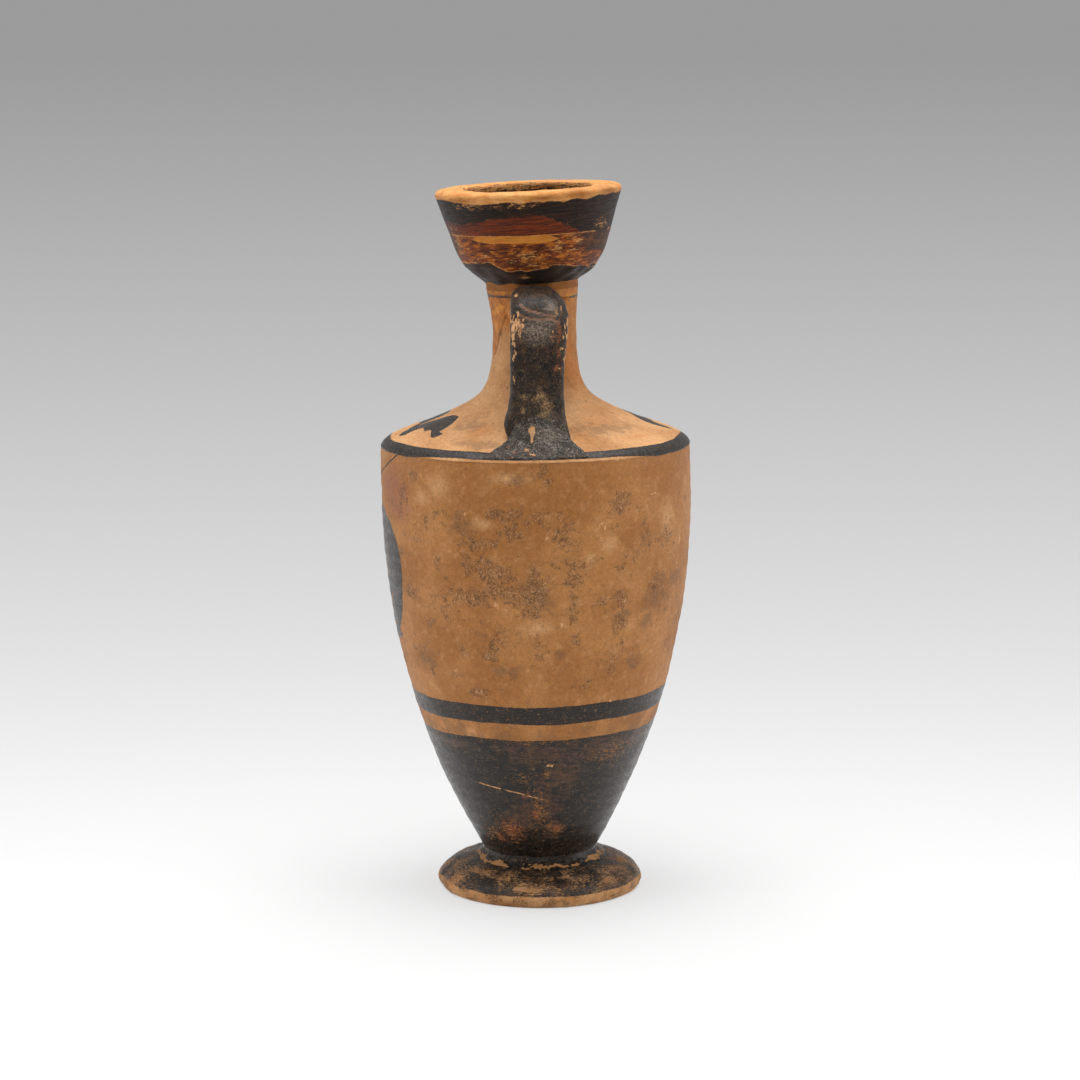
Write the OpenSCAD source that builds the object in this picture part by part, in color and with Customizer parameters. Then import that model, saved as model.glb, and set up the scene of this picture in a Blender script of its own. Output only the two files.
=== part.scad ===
/* [Foot] */
// Diameter of the foot
foot_d = 47; // [42:0.5:56]
// Height of the foot, from the resting face to the body's seat
foot_h = 7.2; // [6.4:0.1:11]
// Height of the foot's upright edge
foot_edge_h = 3; // [2:0.1:4.4]
// Diameter of the hollow under the foot
recess_d = 35; // [20:0.5:38]
// Depth of the hollow under the foot
recess_depth = 2.2; // [1:0.1:3]
// Depth that the body sinks into the foot
seat_depth = 1.2; // [0.6:0.1:2]
// Width on the foot of the clay ring round the joint
ring_w = 3.4; // [1.5:0.1:5]
// Height on the body of the clay ring round the joint
ring_h = 1.9; // [1:0.1:3.5]

/* [Body] */
// Diameter of the body at the foot
base_d = 23.6; // [18:0.2:30]
// Widest diameter of the body
body_d = 70.1; // [60:0.5:84]
// Height of the body, from the foot to the shoulder
body_h = 95.2; // [82:0.5:120]
// Height over which the wall stands upright below the shoulder
upright_h = 7.4; // [4:0.2:14]
// How far the wall draws in again by the shoulder's edge
edge_inset = 0.2; // [0:0.05:1.5]
// Height over which the body flares straight from the foot
flare_h = 21.2; // [10:0.2:28]
// Slope of that flare, as width for height
flare_slope = 0.58; // [0.3:0.02:0.8]
// Height over which the belly rounds up to the upright wall
belly_pull = 40.8; // [20:0.4:50]
// Thickness of the body's wall
body_wall = 3.2; // [2:0.1:4.5]
// Thickness of the body's floor
floor_t = 4; // [2.5:0.1:8]

/* [Shoulder] */
// Height of the shoulder, from the body to the neck
shoulder_h = 9.5; // [7:0.1:16]
// Thickness of the shoulder
shoulder_wall = 3; // [2:0.1:4]
// How strongly the shoulder rolls over at its edge
edge_roll = 3; // [1:0.1:5]
// Depth of the shoulder's collar inside the body
collar_h = 2.4; // [1.5:0.1:5]
// Thickness of that collar
collar_t = 1.8; // [1:0.1:3]

/* [Neck] */
// Height of the neck, from the shoulder to the mouth
neck_h = 25.6; // [22:0.2:36]
// Diameter of the neck at the shoulder
neck_root_d = 29.6; // [26:0.2:36]
// Diameter of the neck's waist
neck_d = 18.7; // [16:0.1:22]
// Height of the waist above the shoulder
waist_h = 14.1; // [10:0.1:17]
// Diameter of the neck at the mouth
neck_top_d = 20.6; // [18:0.1:24]
// Diameter of the bore
bore_d = 10; // [6:0.2:12]
// Height above the shoulder at which the bore becomes straight
bore_start_h = 7; // [4:0.2:12]
// Height of the ledge that the neck stands on
ledge_h = 1.6; // [1:0.1:1.9]
// Width of that ledge
ledge_w = 2.4; // [1:0.1:3]
// Height of the neck's rim inside the mouth
spigot_h = 2; // [1:0.1:3]
// Thickness of that rim
spigot_t = 2.6; // [1.5:0.1:3]

/* [Mouth] */
// Height of the mouth
mouth_h = 22.5; // [18:0.5:30]
// Diameter of the mouth
mouth_d = 41.4; // [36:0.2:50]
// Diameter of the mouth's opening
opening_d = 28.2; // [22:0.2:32]
// Height at which the bowl turns into the straight lip
turn_h = 9.5; // [7:0.1:12]
// Diameter of the mouth at that turn
turn_d = 34.1; // [30:0.1:38]
// Height of the floor of the bowl above the neck
bowl_floor_h = 5; // [4:0.1:7]
// Rounding of the lip
lip_round = 1.3; // [0.6:0.1:2]

/* [Handle] */
// Width of the strap
strap_w = 12; // [9:0.1:16]
// Thickness of the strap
strap_t = 4.4; // [3:0.1:6]
// Distance of the strap from the neck's middle, to the strap's middle
handle_reach = 26.4; // [24:0.1:29]
// Depth below the mouth at which the strap leaves the neck
handle_drop = 3.9; // [3.4:0.1:8]
// Height of the strap's crest above its root
handle_rise = 2.4; // [1:0.1:3]
// Height over which the strap bends down from its crest
arch_h = 10.5; // [8:0.1:13]
// How far the strap widens over the shoulder
strap_spread = 1.6; // [0:0.1:4]
// Width of the clay apron at the shoulder's edge
apron_w = 21.5; // [18:0.5:28]
// Height of the clay apron on the strap
apron_h = 3.6; // [2:0.1:6]
// Height of the clay pad below the strap's root
pad_h = 6.4; // [4:0.1:9]
// How far the clay pad stands out from the neck
pad_reach = 2.6; // [1.5:0.1:3.6]

/* [Stance] */
// Lean of the vessel to the left, in degrees
lean = 0.6; // [0:0.1:1.5]
// Tilt of the mouth to the left, in degrees
tilt_left = 1.8; // [0:0.1:3]
// Tilt of the mouth towards the handle, in degrees
tilt_front = 1.2; // [0:0.1:3]
// Turn of the handle to the right, in degrees
handle_turn = 2.7; // [-6:0.1:6]

/* [Hidden] */
$fn = 96;
CLAY = "#b9783f";
GLOSS = "#2b2522";

// Heights of the joints, from the resting face up
seat_z = foot_h - seat_depth;
edge_z = foot_h + body_h;
seam_z = edge_z + shoulder_h;
lip_joint_z = seam_z + neck_h;

// Radii that several pieces share
foot_r = foot_d / 2;
base_r = base_d / 2;
body_r = body_d / 2;
edge_r = body_r - edge_inset;
root_r = neck_root_d / 2;
waist_r = neck_d / 2;
top_r = neck_top_d / 2;
bore_r = bore_d / 2;
opening_r = opening_d / 2;

// Slope of the shoulder where it runs into the neck, as width for height
seam_slope = 1.65;
// How far a cutting shape reaches past what it cuts
past = 1;
// Least distance between neighbouring points where two outlines meet
point_gap = 0.5;

// A smooth curve from a to d that leaves a towards b and reaches d from c
function bend(a, b, c, d, steps = 16) = [for (i = [0:steps])
    let (t = i / steps, s = 1 - t)
    s * s * s * a + 3 * s * s * t * b + 3 * s * t * t * c + t * t * t * d];

// The same points in the other order
function back(pts) = [for (i = [len(pts) - 1:-1:0]) pts[i]];

// An upward outline moved inwards by a wall, square to itself
function inset(pts, wall) = [for (i = [0:len(pts) - 1])
    let (a = pts[max(i - 1, 0)], b = pts[min(i + 1, len(pts) - 1)], way = (b - a) / norm(b - a))
    pts[i] + wall * [-way[1], way[0]]];

// Where an outline crosses a height, and how high it is at a radius
function radius_at(pts, z) = lookup(z, [for (p = pts) [p[1], p[0]]]);
function height_at(pts, r) = lookup(r, pts);

// Outline of the foot's top, from its edge to a flat that the body's seat is sunk in
seat_flat_r = base_r - 2;
foot_top = bend([foot_r - 0.5, foot_edge_h], [foot_r - 1.3, foot_edge_h + 1.6],
    [foot_r - 5, foot_h - 0.3], [seat_flat_r, foot_h], 12);

// Outline of the body's outside, from the foot to the shoulder
belly_z = edge_z - upright_h;
body_side = concat(
    bend([base_r, foot_h], [base_r + flare_slope * flare_h, foot_h + flare_h],
        [body_r, belly_z - belly_pull], [body_r, belly_z], 22),
    [[edge_r, edge_z]]);

// Outline of the shoulder's outside, from its edge to the neck
roll_in = 0.35 * edge_roll;
sweep_h = 5.1;
shoulder_side = bend([edge_r, edge_z], [edge_r - roll_in, edge_z + edge_roll],
    [root_r + seam_slope * sweep_h, seam_z - sweep_h], [root_r, seam_z], 18);

// The ledge in the shoulder that the neck's root stands on
ledge_r = root_r - ledge_w;
ledge_z = seam_z - ledge_h;

// Outline of the neck's outside, from the shoulder to the mouth
waist_z = seam_z + waist_h;
root_pull = 2.4;
waist_pull = 7.6;
neck_side = concat(
    bend([root_r, seam_z], [root_r - seam_slope * root_pull, seam_z + root_pull],
        [waist_r, waist_z - waist_pull], [waist_r, waist_z], 14),
    bend([waist_r, waist_z], [waist_r, waist_z + 5], [top_r - 0.5, lip_joint_z - 2.6],
        [top_r, lip_joint_z], 6));

// Outline of the mouth's outside, from the neck to the lip
turn_r = turn_d / 2;
turn_z = lip_joint_z + turn_h;
lip_z = lip_joint_z + mouth_h;
lip_r = mouth_d / 2;
wall_slope = (lip_r - turn_r) / (mouth_h - turn_h - lip_round);
turn_pull = min(7, turn_h - 1);
mouth_side = concat(
    [[top_r, lip_joint_z - past]],
    bend([top_r, lip_joint_z + 0.3], [top_r, lip_joint_z + 3],
        [turn_r - wall_slope * turn_pull, turn_z - turn_pull], [turn_r, turn_z], 12),
    bend([lip_r, lip_z - lip_round], [lip_r + 0.1, lip_z - lip_round / 2],
        [lip_r - lip_round / 2, lip_z], [lip_r - lip_round, lip_z], 5));

// Outline of the mouth's inside, from the lip down to the bore
mouth_inside = concat(
    bend([opening_r + lip_round, lip_z], [opening_r + 0.4, lip_z],
        [opening_r, lip_z - 0.4], [opening_r, lip_z - lip_round], 5),
    bend([opening_r, lip_z - lip_round - 1], [opening_r - 0.3, turn_z],
        [bore_r + 5, lip_joint_z + bowl_floor_h + 0.6], [bore_r, lip_joint_z + bowl_floor_h], 12));

// Leans whatever stands on the foot
module leaned() {
    translate([0, 0, foot_h]) rotate([0, -lean, 0]) translate([0, 0, -foot_h]) children();
}

// Tilts the mouth about the neck's waist
module tilted() {
    translate([0, 0, waist_z]) rotate([tilt_front, -tilt_left, 0])
        translate([0, 0, -waist_z]) children();
}

// A solid of revolution from an outline that starts and ends on the axis
module turned(pts) {
    rotate_extrude() polygon(pts);
}

// The foot without its seat
module foot_solid() {
    turned(concat(
        [[0, recess_depth], [recess_d / 2 - recess_depth, recess_depth], [recess_d / 2, 0]],
        [[foot_r - 0.4, 0], [foot_r - 0.05, 0.5], [foot_r, 1.3], [foot_r - 0.1, foot_edge_h * 0.75]],
        foot_top,
        [[0, foot_h]]));
}

// The closed outer forms, which cut whatever is luted onto them
module shoulder_form() {
    turned(concat([[0, edge_z], [edge_r, edge_z]], shoulder_side, [[0, seam_z]]));
}

module neck_form() {
    turned(concat([[0, seam_z - past]], [[root_r, seam_z - past]], neck_side, [[0, lip_joint_z]]));
}

module foot() {
    color(CLAY) difference() {
        foot_solid();
        leaned() translate([0, 0, seat_z]) cylinder(r = base_r, h = seat_depth + past);
    }
}

// The ring of slip and clay smeared round the joint of foot and body
module foot_fillet() {
    ring_z = foot_h + ring_h;
    ring_body_r = radius_at(body_side, ring_z);
    ring_foot_r = base_r + ring_w;
    color(CLAY) difference() {
        leaned() turned(concat(
            [[base_r, foot_h - 0.6]],
            [for (p = body_side) if (p[1] < ring_z) p],
            bend([ring_body_r, ring_z], [ring_body_r + 0.2, ring_z - 0.7],
                [ring_foot_r - 1.4, foot_h + 0.3], [ring_foot_r, foot_h - 0.6], 6)));
        foot_solid();
    }
}

// The thrown wall of the body, with its closed floor and its seat in the foot
module body() {
    floor_z = seat_z + floor_t;
    collar_z = edge_z - collar_h;
    lining = inset(body_side, body_wall);
    color(CLAY) leaned() turned(concat(
        [[0, seat_z], [base_r, seat_z]],
        body_side,
        [[edge_r - body_wall, edge_z], [edge_r - body_wall, collar_z]],
        back([for (p = lining) if (p[1] > floor_z + point_gap && p[1] < collar_z - point_gap) p]),
        [[radius_at(lining, floor_z), floor_z], [0, floor_z]]));
}

// The shoulder, with a collar that drops inside the body and a ledge for the neck
module shoulder() {
    collar_r = edge_r - body_wall;
    collar_in_r = collar_r - collar_t;
    collar_top_z = edge_z + 0.4;
    lining = [for (p = inset(shoulder_side, shoulder_wall))
        if (p[0] > ledge_r + point_gap && p[0] < collar_in_r - point_gap && p[1] > collar_top_z) p];
    color(CLAY) leaned() turned(concat(
        [[collar_r, edge_z]],
        shoulder_side,
        [[root_r, ledge_z], [ledge_r, ledge_z], [ledge_r, seam_z - shoulder_wall]],
        back(lining),
        [[collar_in_r, collar_top_z], [collar_in_r, edge_z - collar_h],
            [collar_r, edge_z - collar_h]]));
}

// The hollow neck, with its root on the ledge and its rim inside the mouth
module neck() {
    foot_z = seam_z - shoulder_wall;
    bore_z = seam_z + bore_start_h;
    flare_r = ledge_r - 2;
    color(CLAY) leaned() difference() {
        turned(concat(
            [[0, foot_z], [ledge_r, foot_z], [ledge_r, ledge_z], [root_r, ledge_z]],
            neck_side,
            [[bore_r + spigot_t, lip_joint_z], [bore_r + spigot_t, lip_joint_z + spigot_h],
                [0, lip_joint_z + spigot_h]]));
        translate([0, 0, foot_z - past]) cylinder(r = bore_r, h = lip_joint_z - foot_z + mouth_h);
        turned(concat([[0, foot_z - past], [flare_r, foot_z - past]],
            bend([flare_r, foot_z], [flare_r - 3, foot_z + 3], [bore_r, bore_z - 4],
                [bore_r, bore_z], 10),
            [[0, bore_z]]));
    }
}

// The cup-shaped mouth, tilted, and cut square where it meets the neck
module mouth() {
    color(CLAY) leaned() difference() {
        tilted() turned(concat([[0, lip_joint_z - past]], mouth_side, mouth_inside,
            [[0, lip_joint_z + bowl_floor_h]]));
        translate([0, 0, lip_joint_z - 3 * past]) cylinder(r = lip_r, h = 3 * past);
        translate([0, 0, lip_joint_z - past]) cylinder(r = bore_r + spigot_t, h = spigot_h + past);
        translate([0, 0, lip_joint_z]) cylinder(r = bore_r, h = mouth_h + past);
    }
}

// The middle line of the strap, as distance from the neck's axis and height
strap_start = [waist_r - 2, lip_joint_z - handle_drop];
strap_crest = strap_start[1] + handle_rise;
strap_shoulder_z = height_at(shoulder_side, handle_reach - 0.4) - 2;
strap_drop_z = strap_crest - arch_h;
lead_out = 6.2;
arch_swell = handle_rise + 1.2;
fall_bow = 0.8;
fall_pull = 8;
strap_line = concat(
    bend(strap_start, [strap_start[0] + lead_out, strap_crest + 0.9],
        [handle_reach - 1.2, strap_crest + arch_swell], [handle_reach, strap_drop_z], 22),
    [for (p = bend([handle_reach, strap_drop_z],
        [handle_reach + fall_bow, strap_drop_z - fall_pull],
        [handle_reach, strap_shoulder_z + fall_pull + 1],
        [handle_reach - 0.4, strap_shoulder_z], 14))
        if (p[1] < strap_drop_z) p]);

// Half the strap's width at a height: drawn in a little midway, and spread at the shoulder
strap_draw = 0.4;
spread_h = 11;
function strap_half(z) = let (
    up = (z - strap_shoulder_z) / (strap_crest - strap_shoulder_z),
    near = 1 - (z - strap_shoulder_z) / spread_h)
    strap_w / 2 - strap_draw * sin(180 * max(0, min(1, up)))
    + strap_spread * pow(max(0, min(1, near)), 2);

// One cross-section of the strap: a flat band with rounded edges
function strap_ring(i) = let (
    last = len(strap_line) - 1,
    a = strap_line[max(i - 1, 0)], b = strap_line[min(i + 1, last)],
    way = (b - a) / norm(b - a),
    out = [-way[1], way[0]],
    mid = strap_line[i], half = strap_half(mid[1]))
    [for (k = [0:23]) let (c = cos(k * 15), s = sin(k * 15),
        across = half * sign(c) * pow(abs(c), 0.62),
        deep = strap_t / 2 * sign(s) * pow(abs(s), 0.8),
        r = mid[0] + deep * out[0])
        [across, -r, mid[1] + deep * out[1]]];

// A closed solid through rings of points that all have the same count
module swept(rings) {
    n = len(rings[0]);
    last = len(rings) - 1;
    polyhedron(
        points = [for (ring = rings, p = ring) p],
        faces = concat(
            [[for (k = [0:n - 1]) k]],
            [for (i = [0:last - 1], k = [0:n - 1])
                [i * n + k, (i + 1) * n + k, (i + 1) * n + (k + 1) % n, i * n + (k + 1) % n]],
            [[for (k = [n - 1:-1:0]) last * n + k]]));
}

module strap_sweep() {
    rotate([0, 0, handle_turn]) swept([for (i = [0:len(strap_line) - 1]) strap_ring(i)]);
}

// The strap handle, cut to the faces of the neck and the shoulder
module handle() {
    color(GLOSS) leaned() difference() {
        strap_sweep();
        neck_form();
        shoulder_form();
    }
}

// The clay apron pressed down from the strap's foot to the shoulder's edge
module handle_apron() {
    lump = 1.1;
    skin = 0.5;
    strap_face = handle_reach + strap_t / 2 - lump;
    rim_r = edge_r - 2.4;
    half_top = strap_w / 2 + strap_spread;
    color(GLOSS) leaned() difference() {
        rotate([0, 0, handle_turn]) hull() {
            for (side = [-1, 1], t = [0, 0.5, 1]) {
                r = strap_face + t * (rim_r - strap_face);
                half = half_top + t * (apron_w / 2 - half_top) - lump;
                rise = apron_h * pow(1 - t, 1.5) + skin - lump;
                translate([side * half, -r, height_at(shoulder_side, r) + rise])
                    sphere(r = lump, $fn = 24);
            }
            for (side = [-1, 1])
                translate([side * half_top, -handle_reach,
                    height_at(shoulder_side, handle_reach) - lump]) sphere(r = lump, $fn = 24);
        }
        strap_sweep();
        shoulder_form();
    }
}

// The pad of clay under and beside the strap's root on the neck
module handle_pad() {
    lump = 1.5;
    root_z = strap_start[1];
    upper = [strap_w / 2 + 0.6 - lump, waist_r + pad_reach - lump, root_z - 1.4];
    lower = [strap_w / 2 - 1.6 - lump, waist_r - lump + 0.5, root_z - pad_h];
    color(CLAY) leaned() difference() {
        rotate([0, 0, handle_turn]) hull() {
            for (side = [-1, 1], at = [upper, lower], sunk = [0, 3]) {
                translate([side * at[0], sunk - at[1], at[2]]) sphere(r = lump, $fn = 24);
            }
        }
        strap_sweep();
        neck_form();
    }
}

foot();
foot_fillet();
body();
shoulder();
neck();
mouth();
handle();
handle_apron();
handle_pad();
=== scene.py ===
import math

import bpy
import numpy as np
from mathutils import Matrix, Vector


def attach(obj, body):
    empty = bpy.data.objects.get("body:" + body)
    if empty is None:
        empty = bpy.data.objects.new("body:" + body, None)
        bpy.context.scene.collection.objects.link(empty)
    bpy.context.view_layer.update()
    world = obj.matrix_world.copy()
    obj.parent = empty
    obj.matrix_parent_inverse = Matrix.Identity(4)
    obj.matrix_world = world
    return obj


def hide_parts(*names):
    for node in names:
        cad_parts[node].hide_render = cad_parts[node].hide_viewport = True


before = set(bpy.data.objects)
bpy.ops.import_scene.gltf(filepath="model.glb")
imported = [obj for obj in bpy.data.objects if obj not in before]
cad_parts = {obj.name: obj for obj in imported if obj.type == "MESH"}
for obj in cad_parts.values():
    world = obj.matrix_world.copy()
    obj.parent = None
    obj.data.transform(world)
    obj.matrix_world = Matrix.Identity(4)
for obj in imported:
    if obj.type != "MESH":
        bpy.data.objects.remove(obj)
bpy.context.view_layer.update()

# All shapes are worked out in millimetres, in the vessel's own upright frame:
# r is the distance from its axis, z the height, and the angle is 0 at the handle
# and grows to the right, seen with the handle in front.
MM = 0.001

FOOT_H = 7.2
SEAT_Z = 6.0
BASE_R = 11.8
EDGE_Z = 102.4
EDGE_R = 34.85
SEAM_Z = 111.9
ROOT_R = 14.8
WAIST_Z = 126.0
JOINT_Z = 137.5
TOP_R = 10.3
BORE_R = 5.0
LIP_Z = 160.0
BASE_EDGE_R = 23.0
BASE_EDGE_Z = 2.65
HOLLOW_Z = 2.2
BELLY_R = 35.05
BELLY_Z = 95.0
BODY_WALL = 3.2
FLOOR_Z = 10.0
SHOULDER_WALL = 3.0
COLLAR_R = 31.65
COLLAR_IN_R = 29.85
COLLAR_Z = 100.0
LEDGE_R = 12.4
LEDGE_Z = 110.3
ROOT_Z = 108.9
RIM_R = 7.6
RIM_Z = 139.5
WAIST_R = 9.35
OPENING_R = 14.1

LEAN = math.radians(-0.6)
TILT_LEFT = math.radians(-1.8)
TILT_FRONT = math.radians(1.2)


# Curves and grids of points

def bend(a, b, c, d, steps=40):
    """A smooth curve from a to d that leaves a towards b and reaches d from c."""
    t = np.linspace(0, 1, steps + 1)[:, None]
    a, b, c, d = (np.array(p, float) for p in (a, b, c, d))
    s = 1 - t
    return s ** 3 * a + 3 * s * s * t * b + 3 * s * t * t * c + t ** 3 * d


def even(points, step):
    """The same line with points about step apart."""
    points = np.array(points, float)
    run = np.concatenate([[0], np.cumsum(np.linalg.norm(np.diff(points, axis=0), axis=1))])
    count = max(1, round(run[-1] / step))
    at = np.linspace(0, run[-1], count + 1)
    return np.column_stack([np.interp(at, run, points[:, k]) for k in range(points.shape[1])])


def rounded(points, closed=True, steps=6):
    """A smooth line through given points."""
    p = np.array(points, float)
    n = len(p)
    out = []
    for i in range(n if closed else n - 1):
        a, b, c, d = ((p[(i + k) % n] if closed else p[min(max(i + k, 0), n - 1)])
                      for k in (-1, 0, 1, 2))
        for t in np.linspace(0, 1, steps, endpoint=False):
            out.append(0.5 * ((2 * b) + (c - a) * t + (2 * a - 5 * b + 4 * c - d) * t * t
                              + (3 * b - a - 3 * c + d) * t ** 3))
    out.append(p[0] if closed else p[-1])
    return np.array(out)


def joined(*parts):
    """One outline from stretches that start where the last one ended."""
    return np.vstack([parts[0]] + [part[1:] for part in parts[1:]])


def smooth(value, low, high):
    """0 below low, 1 above high, and a soft step between."""
    t = np.clip((np.asarray(value, float) - low) / (high - low), 0, 1)
    return t * t * (3 - 2 * t)


def waves(points, size, seed, count=24):
    """Smooth random relief, about one unit high, with features about size across."""
    rng = np.random.default_rng(seed)
    way = rng.normal(size=(count, 3))
    way /= np.linalg.norm(way, axis=1)[:, None]
    way *= 2 * np.pi / (size * rng.uniform(0.7, 1.6, count))[:, None]
    phase = rng.uniform(0, 2 * np.pi, count)
    out = np.zeros(len(points))
    for w, f in zip(way, phase):
        out += np.cos(points @ w + f)
    return out * math.sqrt(2 / count)


def turn_x(points, angle, z):
    c, s = np.cos(angle), np.sin(angle)
    y, h = points[:, 1], points[:, 2] - z
    return np.column_stack([points[:, 0], c * y - s * h, s * y + c * h + z])


def turn_y(points, angle, z):
    c, s = np.cos(angle), np.sin(angle)
    x, h = points[:, 0], points[:, 2] - z
    return np.column_stack([c * x + s * h, points[:, 1], -s * x + c * h + z])


def placed(points, leans=True):
    """From the vessel's own frame to the row frame, in metres. The neck bends into the
    mouth's tilt above its waist, and all that stands on the foot leans."""
    share = smooth(points[:, 2], WAIST_Z, JOINT_Z)
    tilted = turn_y(turn_x(points, TILT_FRONT * share, WAIST_Z), TILT_LEFT * share, WAIST_Z)
    return (turn_y(tilted, LEAN, FOOT_H) if leans else points) * MM


def round_axis(r, a, z):
    """Points at the distances r, the angles a in radians and the heights z."""
    return np.stack([r * np.sin(a), -r * np.cos(a), z], -1)


def grid_faces(rows, cols, ring_rows):
    """Four-sided faces of a grid that closes on itself across, and also along if ring_rows."""
    i = np.arange(rows if ring_rows else rows - 1)[:, None]
    j = np.arange(cols)[None, :]
    up, on = (i + 1) % rows * cols, (j + 1) % cols
    return np.stack([i * cols + j, i * cols + on, up + on, up + j], -1).reshape(-1, 4)


class Piece:
    """A mesh with the place of each of its points in the vessel's own frame."""

    def __init__(self, name, points, faces, world, node, slot, corner=35):
        self.points = points
        self.x, self.y, self.z = points.T
        self.r = np.hypot(self.x, self.y)
        self.angle = np.degrees(np.arctan2(self.x, -self.y))
        mesh = bpy.data.meshes.new(name)
        mesh.from_pydata(world.tolist(), [], [list(map(int, f)) for f in faces])
        mesh.validate()
        mesh.shade_smooth()
        mesh.set_sharp_from_angle(angle=math.radians(corner))
        self.object = bpy.data.objects.new(name, mesh)
        bpy.context.collection.objects.link(self.object)
        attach(self.object, "root")
        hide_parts(node)

    def mark(self, name, values):
        """Stores one number at each point, which the materials read by name."""
        layer = self.object.data.attributes.new(name, "FLOAT", "POINT")
        layer.data.foreach_set("value", np.full(len(self.points), values, np.float32))

    def coat(self, material):
        self.object.data.materials.append(material)


def turned(name, outline, angles, node, slot, relief=None, leans=True, corner=35):
    """A piece turned on the wheel, from an outline of (r, z) that runs up its outside.
    The outline is a closed ring, or starts and ends on the axis."""
    solid = outline[0][0] == 0
    ring = outline[1:-1] if solid else outline
    rows, cols = len(ring), len(angles)
    along = np.gradient(ring, axis=0)
    along /= np.linalg.norm(along, axis=1)[:, None]
    r = np.repeat(ring[:, 0], cols)
    z = np.repeat(ring[:, 1], cols)
    a = np.tile(np.radians(angles), rows)
    out_r = np.repeat(along[:, 1], cols)
    out_z = np.repeat(-along[:, 0], cols)
    if relief:
        lift = relief(round_axis(r, a, z), r, z)
        r, z = r + lift * out_r, z + lift * out_z
    points = round_axis(r, a, z)
    faces = grid_faces(rows, cols, not solid).tolist()
    if solid:
        low, high = len(points), len(points) + 1
        points = np.vstack([points, [[0, 0, outline[0][1]], [0, 0, outline[-1][1]]]])
        top = (rows - 1) * cols
        faces += [[low, (j + 1) % cols, j] for j in range(cols)]
        faces += [[high, top + j, top + (j + 1) % cols] for j in range(cols)]
    return Piece(name, points, faces, placed(points, leans), node, slot, corner)


# Outlines, from the same curves as the construction

foot_top = bend((BASE_EDGE_R, BASE_EDGE_Z), (22.2, 4.4), (18.5, 6.9), (9.8, FOOT_H))
body_side = joined(bend((BASE_R, FOOT_H), (24.1, 28.4), (BELLY_R, 54.2), (BELLY_R, BELLY_Z), 200),
                   np.array([(BELLY_R, BELLY_Z), (EDGE_R, EDGE_Z)]))
shoulder_side = bend((EDGE_R, EDGE_Z), (33.8, 105.4), (23.2, 106.8), (ROOT_R, SEAM_Z), 100)
neck_side = joined(bend((ROOT_R, SEAM_Z), (10.84, 114.3), (WAIST_R, 118.4), (WAIST_R, WAIST_Z), 80),
                   bend((WAIST_R, WAIST_Z), (WAIST_R, 131.0), (9.8, 134.9), (TOP_R, JOINT_Z), 40))


def shoulder_height(r):
    return np.interp(-np.asarray(r, float), -shoulder_side[:, 0], shoulder_side[:, 1])


def body_outline():
    split = np.searchsorted(body_side[:, 1], [47, 100])
    side = joined(even(body_side[:split[0] + 1], 0.7), even(body_side[split[0]:split[1] + 1], 0.37),
                  even(body_side[split[1]:], 0.4))
    inner = [(r - BODY_WALL, z) for r, z in body_side if z > FLOOR_Z + 1][::-1]
    inside = even([(EDGE_R, EDGE_Z)] + inner, 12)
    end = np.array([inside[-1], (inside[-1][0] - 2, FLOOR_Z), (0, FLOOR_Z)])
    start = np.array([(0, SEAT_Z), (BASE_R, SEAT_Z)])
    return joined(start, even([(BASE_R, SEAT_Z), (BASE_R, FOOT_H)], 0.6), side,
                  np.array([(EDGE_R, EDGE_Z), (EDGE_R - BODY_WALL, EDGE_Z)]), inside[1:], end)


def shoulder_outline():
    in_r, in_z = 0.3 * SHOULDER_WALL, 0.95 * SHOULDER_WALL
    inner = even([(r - in_r, z - in_z) for r, z in shoulder_side
                  if 13 < r - in_r < 29.5 and z - in_z > 103], 3)[::-1]
    return np.vstack([even(shoulder_side, 0.37),
                      [(ROOT_R, LEDGE_Z), (LEDGE_R, LEDGE_Z), (LEDGE_R, ROOT_Z)], inner,
                      [(COLLAR_IN_R, 102.8), (COLLAR_IN_R, COLLAR_Z), (COLLAR_R, COLLAR_Z),
                       (COLLAR_R, EDGE_Z)]])


def neck_outline():
    flare_z = ROOT_Z + 10
    flare = bend((BORE_R, flare_z), (BORE_R, flare_z - 4), (7.4, 111.9), (10.4, ROOT_Z), 8)
    return np.vstack([[(LEDGE_R, ROOT_Z), (LEDGE_R, LEDGE_Z), (ROOT_R, LEDGE_Z)], even(neck_side, 0.33),
                      [(RIM_R, JOINT_Z), (RIM_R, RIM_Z), (BORE_R, RIM_Z)],
                      even([(BORE_R, RIM_Z), (BORE_R, flare_z)], 3)[1:], flare[1:]])


def mouth_outline():
    bowl = bend((TOP_R, 138.6), (TOP_R + 0.2, 140.5), (15.0, 140.4), (17.05, 147.0), 60)
    lip = bend((20.7, 158.7), (20.85, 159.4), (20.3, 160.0), (19.2, LIP_Z), 20)
    brim = bend((15.4, LIP_Z), (14.5, LIP_Z), (OPENING_R, 159.6), (OPENING_R, 158.7), 20)
    cup = bend((OPENING_R, 157.7), (13.8, 147.0), (10.0, 143.1), (BORE_R, 142.5), 40)
    return np.vstack([even([(TOP_R, JOINT_Z), bowl[0]], 0.4)[:-1], even(bowl, 0.33),
                      even([bowl[-1], lip[0]], 0.33)[1:], even(lip, 0.25)[1:],
                      even([lip[-1], brim[0]], 0.33)[1:], even(brim, 0.25)[1:],
                      even(cup, 0.7), [(BORE_R, RIM_Z), (RIM_R, RIM_Z), (RIM_R, JOINT_Z)]])


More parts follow.
